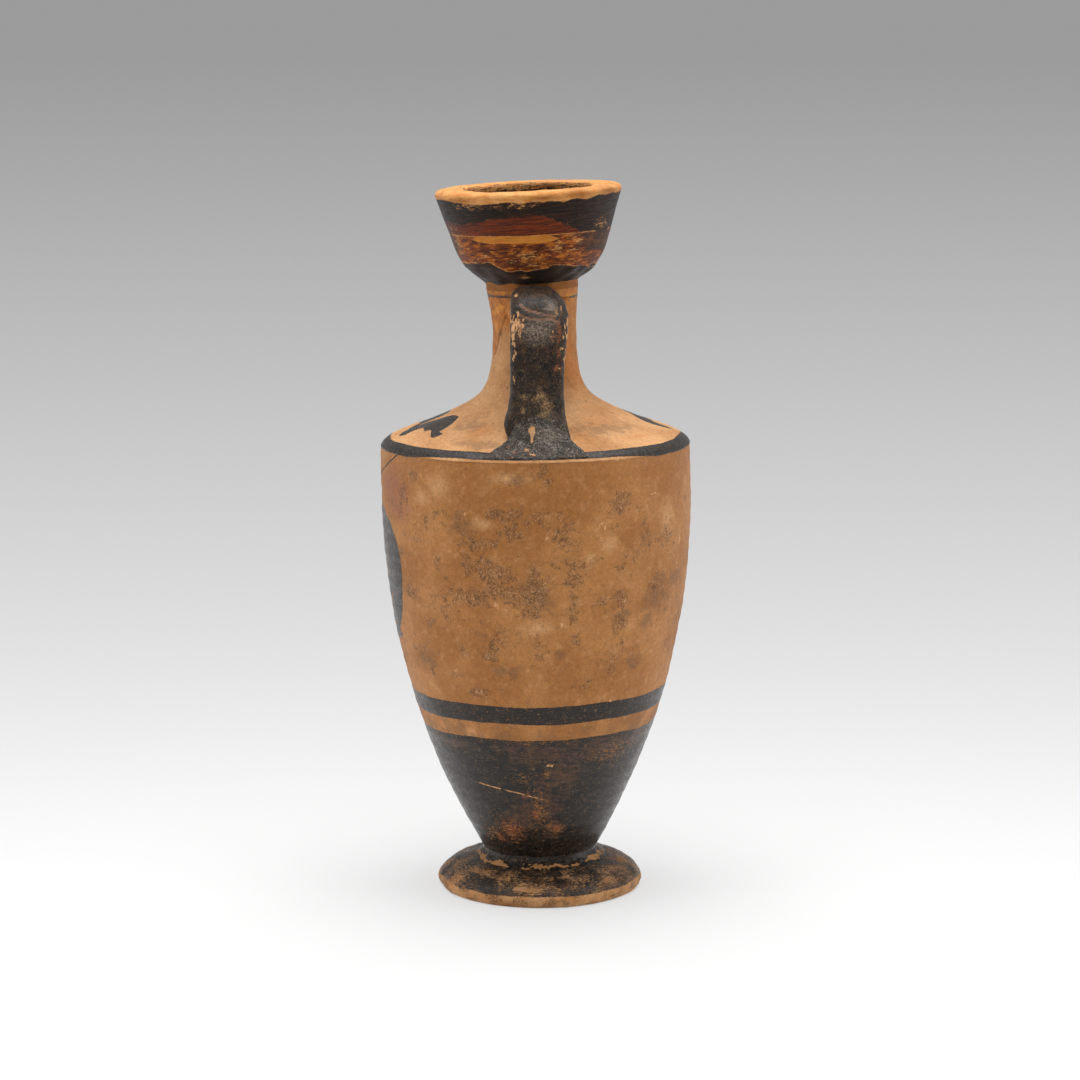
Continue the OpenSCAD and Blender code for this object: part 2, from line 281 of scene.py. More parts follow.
def foot_outline():
    edge = bend((22.3, 0), (23.3, 0.15), (23.75, 1.9), (BASE_EDGE_R, BASE_EDGE_Z), 20)
    return np.vstack([[(0, HOLLOW_Z)], even([(6, HOLLOW_Z), (15.3, HOLLOW_Z)], 3),
                      even([(17.5, 0), (22.3, 0)], 1.5),
                      even(edge, 0.25)[1:], even(foot_top[foot_top[:, 0] > BASE_R + 0.1], 0.33)[1:],
                      [(BASE_R, SEAT_Z), (6, SEAT_Z), (0, SEAT_Z)]])


def fillet_outline():
    outer = bend((15.5, 6.5), (13.9, 7.4), (12.9, 8.5), (12.95, 9.3), 30)
    return np.vstack([even(outer, 0.14), [(12.2, 9.0), (11.6, 7.4), (12.4, 6.4), (14.6, 6.0)]])


# Closer points round the painted front than behind the handle
FRONT_START, FRONT_END = 95.0, 302.0
body_angles = np.concatenate([np.linspace(FRONT_START, FRONT_END, 345, endpoint=False),
                              np.linspace(FRONT_END, FRONT_START + 360, 134, endpoint=False)])


def even_angles(count):
    return np.linspace(0, 360, count, endpoint=False)


# Relief of the thrown and trimmed clay

def wall_relief(points, r, z):
    rings = 0.035 * np.sin(z * 2 * np.pi / 3.1 + 0.6 * waves(points, 60, 3))
    return (rings + 0.07 * waves(points, 26, 1) + 0.025 * waves(points, 7, 2)) * smooth(z, 7, 12)


def shoulder_relief(points, r, z):
    hold = smooth(r, ROOT_R, ROOT_R + 3) * smooth(EDGE_R - r, 0.2, 2)
    return (0.06 * waves(points, 14, 4) + 0.03 * waves(points, 5, 5)) * hold


def neck_relief(points, r, z):
    hold = smooth(z, SEAM_Z, SEAM_Z + 3) * smooth(JOINT_Z - z, 0, 2)
    return (0.08 * waves(points, 12, 6) + 0.04 * waves(points, 4, 7)) * hold


def mouth_relief(points, r, z):
    lip = smooth(z, 156.5, 159.5)
    inside = smooth(15.5 - r, 0, 1)
    hold = smooth(z, JOINT_Z, JOINT_Z + 2) * smooth(r, BORE_R, BORE_R + 3)
    rough = 0.08 * waves(points, 16, 8) + 0.012 * waves(points, 4, 9)
    return (rough - lip * 0.04 * np.maximum(0, waves(points, 6, 10)) + 0.12 * inside
            * waves(points, 5, 11)) * hold


def foot_relief(points, r, z):
    edge = smooth(r, 20.5, 23) * smooth(z, 0.02, 0.3)
    top = smooth(z, 2.7, 4.2) * smooth(r, BASE_R, BASE_R + 1)
    return (edge * (0.10 * waves(points, 9, 12) - 0.08 * np.maximum(0, waves(points, 2.6, 13)))
            + top * (0.05 * waves(points, 8, 14) + 0.02 * waves(points, 2, 15)))


def fillet_relief(points, r, z):
    outer = smooth(r, 12.5, 12.9)
    return outer * (0.06 * waves(points, 4.2, 16) + 0.03 * waves(points, 1.2, 17) - 0.03)


foot = turned("foot_clay", foot_outline(), even_angles(300), "foot", "fired_clay", foot_relief,
              leans=False)
foot_fillet = turned("foot_fillet_clay", fillet_outline(), even_angles(420), "foot_fillet",
                     "fired_clay", fillet_relief)
body = turned("body_clay", body_outline(), body_angles, "body", "fired_clay", wall_relief)
shoulder = turned("shoulder_clay", shoulder_outline(), body_angles, "shoulder", "fired_clay",
                  shoulder_relief)
neck = turned("neck_clay", neck_outline(), even_angles(240), "neck", "fired_clay", neck_relief)
mouth = turned("mouth_clay", mouth_outline(), even_angles(320), "mouth", "mouth_gloss",
               mouth_relief)


# The strap handle, its apron and its pad

STRAP_T = 4.4
strap_line = joined(bend((7.35, 133.6), (13.55, 136.9), (25.2, 139.6), (26.4, 125.5), 120),
                    bend((26.4, 125.5), (27.2, 117.5), (26.4, 114.2), (26.0, 105.2), 100))
# Where the strap's left and right edges run, at heights from the shoulder up
STRAP_EDGES = rounded([(102.0, -6.2, 7.9), (106.6, -6.1, 7.6), (108.2, -6.5, 7.3),
                       (109.7, -6.7, 7.0), (111.4, -6.2, 6.7), (113.6, -5.6, 6.45),
                       (117.5, -5.35, 6.35), (124.0, -5.25, 6.8), (130.3, -5.2, 7.25),
                       (134.4, -5.1, 7.3), (138.5, -4.9, 6.9)], closed=False)


def lofted(name, rings, node, slot, relief=None, corner=60):
    """A closed piece through rings of points, with its ends capped."""
    rings = np.array(rings)
    rows, cols = rings.shape[:2]
    if relief is not None:
        along = np.gradient(rings, axis=0)
        across = np.roll(rings, -1, axis=1) - np.roll(rings, 1, axis=1)
        out = np.cross(across, along)
        out /= np.linalg.norm(out, axis=2)[:, :, None] + 1e-9
        middle = rings.mean(axis=1, keepdims=True)
        out *= np.sign(((rings - middle) * out).sum(axis=(1, 2)))[:, None, None]
        rings = rings + relief(rings)[:, :, None] * out
    points = rings.reshape(-1, 3)
    faces = grid_faces(rows, cols, False).tolist()
    faces.append(list(range(cols))[::-1])
    faces.append([(rows - 1) * cols + k for k in range(cols)])
    volume = 0
    for f in faces[:-2]:
        a, b, c, d = points[f]
        volume += np.dot(a, np.cross(b, c)) + np.dot(a, np.cross(c, d))
    if volume < 0:
        faces = [f[::-1] for f in faces]
    return Piece(name, points, faces, placed_handle(points), node, slot, corner)


def placed_handle(points):
    return turn_y(points, LEAN, FOOT_H) * MM


strap_turn = np.linspace(0, 2 * np.pi, 96, endpoint=False)
# 1 on the strap's outer face and 0 on its inner face
strap_face = smooth(np.sin(strap_turn), 0.0, 0.5)


def strap_rings():
    line = even(strap_line, 0.33)
    way = np.gradient(line, axis=0)
    way /= np.linalg.norm(way, axis=1)[:, None]
    c, s = np.cos(strap_turn), np.sin(strap_turn)
    across = np.sign(c) * np.abs(c) ** 0.62
    deep = np.sign(s) * np.abs(s) ** 0.8 * STRAP_T / 2
    rings = []
    for (r, z), (wr, wz) in zip(line, way):
        fall = float(smooth(r, 13, 19))
        left = (1 - fall) * -4.6 + fall * np.interp(z, STRAP_EDGES[:, 0], STRAP_EDGES[:, 1])
        right = (1 - fall) * 6.4 + fall * np.interp(z, STRAP_EDGES[:, 0], STRAP_EDGES[:, 2])
        x = (left + right) / 2 + across * (right - left) / 2
        ring = np.column_stack([x, -(r - wz * deep), z + wr * deep])
        # The crest is flat and drops away at its right corner
        crest = smooth(ring[:, 2], 131, 137)
        ring[:, 2] += 0.75 * crest
        ring[:, 2] -= crest * 2.3 * smooth(x, 2.0, 7.4) ** 1.4
        ring[:, 2] -= crest * 0.35 * smooth(-x, 3.2, 5.2) ** 2
        rings.append(ring)
    return rings


def blot(x, y, middle_x, middle_y, wide, high, turn=0):
    """1.5 in the middle of an oval spot, 0.5 at its edge and 0 outside."""
    c, s = math.cos(math.radians(turn)), math.sin(math.radians(turn))
    dx, dy = x - middle_x, y - middle_y
    far = np.hypot((c * dx + s * dy) / wide, (c * dy - s * dx) / high)
    return np.clip(1.5 - far, 0, 1.5)


def blots(x, y, spots):
    """The strongest of some spots, each given as its middle, its half sizes and its turn."""
    return np.max([blot(x, y, *spot) for spot in spots], axis=0)


# Chips on the strap's face, as across, height, half sizes and turn
STRAP_CHIPS = [(-4.4, 133.2, 0.22, 0.8), (-4.3, 131.3, 0.40, 1.7), (-4.45, 129.0, 0.42, 1.3),
               (-4.3, 127.2, 0.24, 1.3), (-3.45, 133.8, 0.26, 0.9), (-3.3, 132.1, 0.36, 0.9),
               (-3.1, 130.2, 0.22, 1.7), (-2.5, 131.3, 0.42, 0.5), (-2.7, 130.2, 0.35, 0.3),
               (-4.45, 124.5, 0.26, 1.1), (-4.0, 125.5, 0.2, 0.6), (-4.35, 119.4, 0.24, 1.0, 12),
               (-0.5, 124.4, 0.28, 0.26), (1.4, 124.3, 0.26, 0.24), (-3.8, 137.4, 0.42, 0.4),
               (-4.4, 138.3, 0.25, 0.25), (-1.4, 137.1, 0.22, 0.16), (4.9, 133.8, 0.34, 0.5),
               (5.0, 134.6, 0.16, 0.6), (4.0, 130.0, 0.16, 0.16), (4.2, 128.0, 0.24, 0.24),
               (3.6, 129.0, 0.3, 0.2), (4.6, 130.6, 0.24, 0.16), (6.3, 128.7, 0.18, 0.6),
               (6.0, 126.3, 0.42, 0.4), (6.45, 123.7, 0.18, 0.6), (5.3, 122.0, 0.26, 0.2),
               (4.6, 121.6, 0.3, 0.16), (-1.9, 105.0, 0.6, 0.3, -20), (-0.6, 104.1, 0.8, 0.22, -14),
               (-4.75, 131.0, 0.35, 2.2), (-4.7, 128.6, 0.3, 1.8), (-3.7, 131.6, 0.3, 1.4),
               (5.9, 134.6, 0.14, 0.9), (6.7, 130.4, 0.12, 1.6), (-2.2, 132.4, 0.2, 0.5)]
# The large chip that runs from the strap down on to the apron
LOWER_CHIP = [(-0.2, 109.8), (0.15, 109.3), (0.0, 108.3), (-0.3, 107.2), (-0.5, 106.2), (-0.95, 106.4),
              (-1.0, 107.3), (-1.35, 108.0), (-1.55, 108.8), (-1.1, 109.6)]
STRAP_RUST = [(4.7, 122.1, 1.1, 1.3), (5.4, 130.0, 0.7, 3.4), (5.2, 125.2, 0.5, 2.0),
              (-3.0, 130.6, 1.1, 2.6), (3.9, 129.0, 0.9, 1.2), (-0.9, 134.4, 2.2, 0.4, -16)]
APRON_RUST = [(-5.8, 105.4, 0.8, 0.6), (-4.6, 104.4, 0.9, 0.5), (-5.2, 103.4, 1.0, 0.4)]
OCHRE = [(2.3, 114.2, 1.3, 1.4), (-2.0, 116.2, 0.8, 0.7), (1.8, 112.2, 1.2, 0.7),
         (-2.6, 113.0, 0.7, 0.7), (1.2, 115.8, 1.7, 1.2)]
STRAP_CREASES = [np.array([(-3.0, 135.6), (-1.6, 134.6), (0.8, 133.9), (3.0, 133.3), (4.6, 133.2)]),
                 np.array([(-3.2, 133.6), (-1.2, 132.7), (1.2, 132.4), (3.6, 132.6), (5.4, 131.9)])]


def strap_relief(rings):
    x, r, z = rings[:, :, 0], -rings[:, :, 1], rings[:, :, 2]
    flat = rings.reshape(-1, 3)
    rough = (0.07 * waves(flat, 9, 20) + 0.03 * waves(flat, 2.5, 21)).reshape(x.shape)
    front = np.tile(strap_face, (len(rings), 1))
    dish = -0.22 * np.exp(-((x - 0.9) / 3.2) ** 2) * smooth(z, 117, 123) * front
    sunk = 0.10 * smooth(blots(x, z, STRAP_CHIPS), 0.35, 0.75) * front
    fold = 0
    for crease in STRAP_CREASES:
        line = np.interp(x, crease[:, 0], crease[:, 1])
        here = smooth(x, crease[0, 0], crease[0, 0] + 1) * smooth(-x, -crease[-1, 0], 1 - crease[-1, 0])
        fold = fold - 0.12 * here * np.exp(-((z - line) / 0.28) ** 2) * front
    return rough + dish - sunk + fold


handle = lofted("handle_strap", strap_rings(), "handle", "black_gloss", strap_relief)


def cushion(outer, inner):
    """Rings of a patch of clay: its outer face one way and its hidden face back."""
    return np.concatenate([outer, inner[:, ::-1]], axis=1)


apron_face = bend((28.5, 111.6), (28.9, 107.6), (31.6, 104.6), (34.5, 102.8), 60)


def apron_rings():
    down, over = np.meshgrid(np.linspace(0, 1, 48), np.linspace(-1, 1, 81), indexing="ij")
    # A short stretch inside the strap, and the long one down to the shoulder's edge
    tucked = 0.12
    r = np.where(down < tucked, 26.4 + down / tucked * 2.1,
                 28.5 + (down - tucked) / (1 - tucked) * 5.95)
    low = np.clip((r - 28.3) / 6.2, 0, 1)
    half = 6.5 + 5.5 * low ** 0.95
    centre = 0.9 - 0.75 * low
    base = shoulder_height(r)
    face = np.interp(r, apron_face[:, 0], apron_face[:, 1])
    web = np.clip(1 - np.abs(over) ** 4, 0, 1)
    height = base + np.maximum(face - base, 0) * web + 0.32 * smooth(1 - np.abs(over), 0, 0.06) - 0.05
    a = (centre + half * over) / r
    return cushion(round_axis(r, a, height), round_axis(r, a, base - 0.7))


def apron_relief(rings):
    flat = rings.reshape(-1, 3)
    grit = 0.05 * waves(flat, 1.1, 30, 40) + 0.05 * waves(flat, 3.2, 31) + 0.03 * waves(flat, 0.7, 32, 40)
    return grit.reshape(rings.shape[:2])


handle_apron = lofted("handle_apron_clay", apron_rings(), "handle_apron", "black_gloss", apron_relief)


def pad_rings():
    up, over = np.meshgrid(np.linspace(0, 1, 40), np.linspace(-1, 1, 72), indexing="ij")
    z = 126.8 + 9.0 * up
    reach = np.interp(up, [0, 0.3, 0.75, 1], [28, 36, 50, 46])
    a = np.radians(6 + reach * over)
    skin = np.interp(z, neck_side[:, 1], neck_side[:, 0])
    swell = np.clip(1 - np.abs(over) ** 2.4, 0, 1) * np.interp(up, [0, 0.35, 0.7, 0.9, 1],
                                                             [0, 0.9, 2.0, 1.7, 0.1])
    return cushion(round_axis(skin + swell - 0.08, a, z), round_axis(skin - 0.9, a, z))


def pad_relief(rings):
    flat = rings.reshape(-1, 3)
    return (0.14 * waves(flat, 2.2, 33) + 0.08 * waves(flat, 0.9, 34)).reshape(rings.shape[:2])


handle_pad = lofted("handle_pad_clay", pad_rings(), "handle_pad", "fired_clay", pad_relief)


# What is painted and worn, as a number at each point

def line_distance(x, y, points):
    """Distance in millimetres from a line through the points."""
    best = np.full(np.shape(x), 1e9)
    points = np.array(points, float)
    for (ax, ay), (bx, by) in zip(points[:-1], points[1:]):
        vx, vy = bx - ax, by - ay
        t = np.clip(((x - ax) * vx + (y - ay) * vy) / (vx * vx + vy * vy), 0, 1)
        best = np.minimum(best, np.hypot(x - ax - t * vx, y - ay - t * vy))
    return best


def shape(x, y, points, reach=3.0):
    """Signed distance from a smooth closed shape, in millimetres, above 0 inside."""
    outline = rounded(points)
    out = np.full(len(x), -reach)
    low, high = outline.min(axis=0) - reach, outline.max(axis=0) + reach
    near = (x > low[0]) & (x < high[0]) & (y > low[1]) & (y < high[1])
    px, py = x[near], y[near]
    far = line_distance(px, py, outline)
    inside = np.zeros(len(px), bool)
    for (ax, ay), (bx, by) in zip(outline[:-1], outline[1:]):
        if ay != by:
            inside ^= ((ay > py) != (by > py)) & (px < (bx - ax) * (py - ay) / (by - ay) + ax)
    out[near] = np.clip(np.where(inside, far, -far), -reach, reach)
    return out


# Marks of gloss for clay that is left bare, and for a piece that is black all over
BARE, ALL_BLACK = -3.0, 3.0


def band(value, low, high):
    """How far a value is inside a band, below 0 outside."""
    return np.minimum(value - low, high - value)


# An ivy leaf of the shoulder, as (angle from its middle, distance from the axis)
LEAF = [(-12.6, 31.0), (-16.6, 28.0), (-17.5, 25.1), (-11.3, 21.8), (-2.6, 19.8), (6.4, 19.4),
        (9.8, 20.7), (12.4, 22.8), (13.2, 24.7), (13.4, 26.0), (17.7, 26.5), (17.3, 28.0),
        (14.9, 28.6), (10.8, 27.6), (5.8, 26.2), (3.0, 27.2), (-1.0, 26.6), (-4.4, 26.6),
        (-6.8, 28.2), (-6.4, 30.3)]
LEAF_ANGLES = [-68, -100, -132, -164, 164, 132, 100]


def leaf_paint(piece):
    out = np.full(len(piece.angle), -3.0)
    for k, middle in enumerate(LEAF_ANGLES):
        turn = np.radians((piece.angle - middle + 180) % 360 - 180)
        wide = 1.0 if k % 2 == 0 else 0.94
        points = [(r * math.sin(math.radians(da * wide)), r * math.cos(math.radians(da * wide)))
                  for da, r in LEAF]
        out = np.maximum(out, shape(piece.r * np.sin(turn), piece.r * np.cos(turn), points))
    return out


# Millimetres along the wall for one degree round the axis
ARC = 0.612
# Heights of the painted band, the top of the dark lower body, the foot's painted edge, the
# line round the neck, and the mouth's ochre stripe with the red above it
BAND_LOW, BAND_HIGH = 43.3, 47.5
DARK_TOP = 39.5
FOOT_EDGE_Z = 2.62
NECK_LINE_Z = 135.9
STRIPE_Z = 149.65
RED_LOW = 150.45

# The back of the seated figure, as (angle from the handle, height)
FIGURE_BACK = [(-80.6, 89.2), (-74.4, 88.2), (-67.4, 85.4), (-63.2, 82.0), (-61.4, 78.5),
               (-61.6, 75.1), (-62.9, 71.5), (-64.9, 67.9), (-68.3, 64.6), (-74.8, 61.4),
               (-84, 60), (-96, 64), (-97, 80), (-90, 88)]

# Figures of the front, as (across, height) in millimetres, facing to the right: the head,
# and a standing and a seated figure with their feet
HEAD = [(-1.2, 90.4), (1.4, 90.4), (1.7, 91.5), (2.6, 91.9), (2.7, 93.0), (3.3, 93.5), (2.7, 94.4),
        (2.5, 95.7), (1.3, 97.0), (-0.8, 97.5), (-2.9, 96.7), (-3.6, 94.6), (-3.3, 92.4), (-2.2, 91.2)]
STANDING = [[(-2.2, 90.6), (2.0, 90.6), (4.6, 88.4), (5.6, 82.0), (5.2, 74.0), (6.0, 64.0),
             (7.0, 53.4), (5.6, 51.2), (0.4, 50.8), (-5.0, 51.2), (-5.6, 56.0), (-4.4, 66.0),
             (-5.2, 76.0), (-5.4, 84.0), (-4.4, 88.6)],
            [(0.4, 52.0), (3.6, 52.0), (4.4, 49.9), (6.4, 48.7), (6.2, 48.2), (0.6, 48.2)],
            [(-4.0, 52.0), (-1.0, 52.0), (-0.6, 49.9), (1.0, 48.7), (0.8, 48.2), (-3.8, 48.2)]]
SEATED = [[(-2.0, 90.4), (1.4, 90.4), (3.6, 88.0), (4.4, 82.0), (3.4, 76.0), (4.0, 71.4), (9.0, 70.4),
           (13.0, 68.6), (14.6, 65.6), (14.4, 60.0), (14.2, 54.0), (14.6, 50.6), (8.6, 50.6),
           (7.6, 56.0), (6.6, 60.4), (0.0, 60.6), (-7.6, 60.6), (-9.4, 64.0), (-9.0, 70.0),
           (-8.6, 77.0), (-7.4, 83.4), (-5.2, 88.4)],
          [(9.4, 51.4), (13.4, 51.4), (14.8, 49.8), (17.2, 48.7), (17.0, 48.2), (9.6, 48.2)]]
# The folding stool, the raised arm with its hand, and the arm held down
STOOL = [[(-8.6, 61.0), (6.4, 61.0), (6.4, 59.4), (-8.6, 59.4)],
         [(-6.2, 60.2), (-4.8, 60.2), (5.8, 48.2), (4.0, 48.2)],
         [(3.8, 60.2), (5.2, 60.2), (-3.6, 48.2), (-5.4, 48.2)]]
RAISED_ARM = [(3.0, 88.2), (6.4, 83.8), (9.0, 83.6), (11.6, 88.0), (13.2, 89.4), (12.8, 90.6),
              (11.0, 89.6), (8.6, 86.6), (6.8, 86.8), (4.4, 89.6)]
HELD_ARM = [(3.4, 85.4), (7.4, 79.6), (11.8, 80.2), (13.2, 81.2), (12.6, 82.4), (10.6, 82.2),
            (8.0, 82.0), (5.4, 87.2)]
# Lines cut through the gloss: folds, the hair's edge, the eye and the hems
HEAD_CUTS = [[(-3.2, 93.6), (-1.0, 93.4), (0.2, 94.8), (0.6, 96.6), (1.2, 96.9)],
             [(1.1, 94.3), (1.9, 94.4)], [(-1.8, 95.8), (0.0, 96.4)], [(1.6, 92.5), (2.4, 92.6)]]
STANDING_CUTS = [[(-3.6, 88.6), (-1.0, 84.0), (3.6, 79.6), (4.9, 78.0)],
                 [(-4.8, 81.0), (-1.0, 76.6), (4.6, 72.0)],
                 [(-3.0, 74.0), (-3.6, 62.0), (-4.4, 52.0)], [(-0.4, 72.6), (-0.6, 62.0), (-0.8, 52.0)],
                 [(2.6, 70.6), (2.8, 62.0), (3.2, 52.0)], [(-5.2, 53.4), (0.6, 52.8), (6.6, 53.8)]]
SEATED_CUTS = [[(-4.6, 87.4), (-2.0, 81.0), (2.8, 76.6)],
               [(-7.6, 80.0), (-4.6, 73.6), (1.6, 69.6), (9.6, 68.4)],
               [(-8.4, 70.0), (-4.0, 65.6), (4.0, 64.2), (12.6, 64.4)], [(9.4, 63.0), (10.2, 52.6)],
               [(11.8, 63.0), (12.4, 52.6)], [(-6.4, 62.4), (2.0, 62.0)]]
# Who stands where: place, which way they face, seated or not, and which arm
FRONT_FIGURES = [(55.5, -1, True, HELD_ARM), (30.0, 1, False, RAISED_ARM), (10.5, -1, False, HELD_ARM),
                 (-14.0, -1, True, RAISED_ARM), (-41.0, 1, False, HELD_ARM)]
# Vine branches between them, and staffs
BRANCHES = [[(39.8, 96.6), (38.2, 90.0), (39.8, 81.0), (38.0, 72.0)],
            [(20.6, 96.8), (21.8, 88.0), (19.8, 78.0), (21.6, 66.0), (20.0, 56.0)],
            [(-1.0, 97.0), (-2.6, 91.0), (-1.2, 84.0), (1.2, 76.0), (-0.4, 66.0), (1.0, 56.0)],
            [(-31.8, 96.6), (-30.6, 90.0), (-31.6, 80.0), (-29.8, 74.0)],
            [(-48.6, 92.0), (-49.8, 84.0), (-48.4, 74.0), (-49.6, 64.0)]]
STAFFS = [[(42.6, 93.0), (43.2, 71.0)], [(-28.0, 92.6), (-28.6, 72.0)], [(-2.6, 82.6), (-2.2, 49.0)]]

# Marks of the body, as angle, height, half sizes and turn: clusters of dark crust
CRUST = [(-50, 98.4, 3, 1.4), (-57, 94, 3, 2.6), (-43.5, 88.5, 1.2, 1.6), (-15, 91.3, 3.4, 1.3),
         (-8.5, 91.4, 2.8, 1.3), (-9, 86.8, 3.6, 2.2), (-19, 84.3, 6.4, 1.7), (-40, 80, 3.2, 2.4),
         (-25.5, 79.7, 2.2, 2.4), (-17, 78.7, 5, 3), (-48, 84, 2.6, 1.8), (-56, 72, 4, 1.8),
         (-24, 72.6, 6, 1.8), (-5.5, 73, 6.5, 1.9), (-30.5, 60, 2.2, 1.4), (-17.5, 59.6, 2.4, 2.2),
         (-26, 51, 5.4, 1.5), (2.2, 100.5, 3, 1.8), (4.3, 98.3, 2, 0.9), (31.6, 93.3, 4, 2.4),
         (13.2, 76.6, 3, 2.6), (13.4, 71, 1.8, 3.8), (1.4, 73.2, 3.8, 4.4), (33.5, 71.3, 3.6, 2.2),
         (14.6, 62.7, 2.6, 1.8), (-0.7, 77.3, 3, 2.6), (-1, 70, 3, 2.4), (50.7, 74, 4, 2),
         (8.4, 86.3, 3, 2.2), (24, 71.6, 3, 1.2), (34, 66, 4, 2.4), (-35, 54, 5, 1.6),
         (-46, 66, 3, 1.4), (20, 53, 4, 1.6)]
VEILS = [(-28, 88.7, 6, 3.0), (-52, 56.5, 7, 2.8), (-15.5, 55.7, 3.4, 2.0), (-9.3, 55.8, 3.8, 2.0),
         (33.6, 67.2, 5, 2.2), (51, 70.2, 9, 3.0), (46.7, 65.5, 4.4, 2.2), (63, 73.8, 7, 2.4),
         (42.3, 56.2, 6, 1.8), (1.4, 73, 6, 5), (-6.5, 98.6, 2.6, 1.4), (9, 59.7, 4, 1.4)]
PALES = [(-37.4, 96.7, 6, 3.0), (-45.3, 93.6, 4, 1.8), (-10, 99, 7, 1.6), (-34, 40.9, 4.5, 1.4),
         (19.5, 80.8, 2, 2), (56, 88, 5, 5), (0, 66, 7, 2), (-20, 89, 5, 1.6), (27, 84, 4, 2.4)]
NICKS = [(47.8, 94.0, 2.2, 0.22), (24.0, 88.6, 1.3, 0.30, 20), (25.6, 87.9, 0.5, 0.9),
         (9.3, 66.8, 0.7, 0.8), (25.7, 62.9, 0.35, 1.2), (34.5, 70.8, 0.5, 0.3),
         (-15.1, 70.9, 0.9, 0.7), (-18.3, 74.2, 0.35, 1.2), (64.7, 77.1, 0.5, 2.2),
         (66.5, 82.0, 0.4, 1.4), (0.7, 46.0, 0.5, 0.25), (11.3, 45.3, 0.5, 0.22),
         (-14.1, 47.3, 0.6, 0.3), (33.1, 47.9, 1.0, 0.6), (30.7, 102.5, 1.3, 0.6),
         (6.2, 33.1, 2.4, 0.3), (11.0, 33.5, 1.6, 0.25), (-13, 97.8, 0.6, 0.4), (3.5, 86, 0.4, 0.6),
         (-30, 68, 0.4, 0.4), (-26, 91, 0.3, 0.4)]
CRACKS = [[(-58.5, 102.6), (-60.6, 102.3), (-64.8, 100.9), (-71.2, 99.1), (-75.9, 97.9),
           (-82.5, 96.1), (-86, 95.8)],
          [(-36.2, 70.4), (-37.2, 66.0), (-38.4, 61.6)], [(-35.0, 66.2), (-36.2, 63.4)],
          [(-10.6, 57.3), (-8.4, 58.8), (-6.4, 61.2)], [(-13.9, 97.1), (-13.5, 96.9)],
          [(-43.0, 90.4), (-43.6, 87.6)]]
# Brown and rusty places of the dark lower body, and its speckled wear
BROWNS = [(0, 36, 30, 4), (35, 36, 26, 5), (62, 38, 24, 6), (14, 30, 18, 6), (4, 24, 12, 6),
          (-12, 20, 18, 5), (14, 16, 12, 3), (-50, 37, 20, 2), (120, 34, 30, 6), (-140, 30, 40, 8)]
RUSTS = [(-22, 16.4, 11, 3.2), (-34, 14.0, 7, 1.6), (-2, 20.5, 4, 1.8), (13, 17, 6, 1.3),
         (-8, 25.5, 4, 1.0), (160, 20, 20, 4)]
SPECKS = [(4, 31, 4, 1.4), (0, 22, 9, 6), (8, 17, 13, 2.2), (-9, 30, 6, 2.0), (-24, 16.6, 11, 3.2),
          (-42, 15, 12, 3), (40, 35, 14, 3), (0, 40, 30, 1.5), (140, 30, 30, 7), (-110, 25, 24, 7)]


def scattered(count, angles, heights, size, seed):
    """Spots strewn over the sides that the handle's side does not show."""
    rng = np.random.default_rng(seed)
    return [(rng.uniform(*angles), rng.uniform(*heights),
             size * rng.uniform(1.0, 2.6), size * rng.uniform(0.6, 1.2)) for _ in range(count)]


def painted_front(u, z, gloss):
    """The figures of the front, painted over the gloss given and cut with fine lines."""
    cut_half, staff_half, stem_half = 0.24, 0.42, 0.34
    leaf_apart, leaf_out, leaf_size = 2.1, 1.5, (0.9, 0.6)
    cut = np.full(len(u), 9.0)
    for place, way, seated, arm in FRONT_FIGURES:
        x = (u - place) * way
        for outline in [HEAD, arm] + (SEATED + STOOL if seated else STANDING):
            gloss = np.maximum(gloss, shape(x, z, outline))
        for line in HEAD_CUTS + (SEATED_CUTS if seated else STANDING_CUTS):
            cut = np.minimum(cut, line_distance(x, z, rounded(line, closed=False)))
    gloss = np.minimum(gloss, cut - cut_half)
    for line in STAFFS:
        gloss = np.maximum(gloss, staff_half - line_distance(u, z, line))
    for line in BRANCHES:
        stem = rounded(line, closed=False)
        gloss = np.maximum(gloss, stem_half - line_distance(u, z, stem))
        for k, (x, h) in enumerate(even(stem, leaf_apart)):
            side = leaf_out if k % 2 else -leaf_out
            gloss = np.maximum(gloss, blot(u, z, x + side, h, *leaf_size) - 0.5)
    return gloss


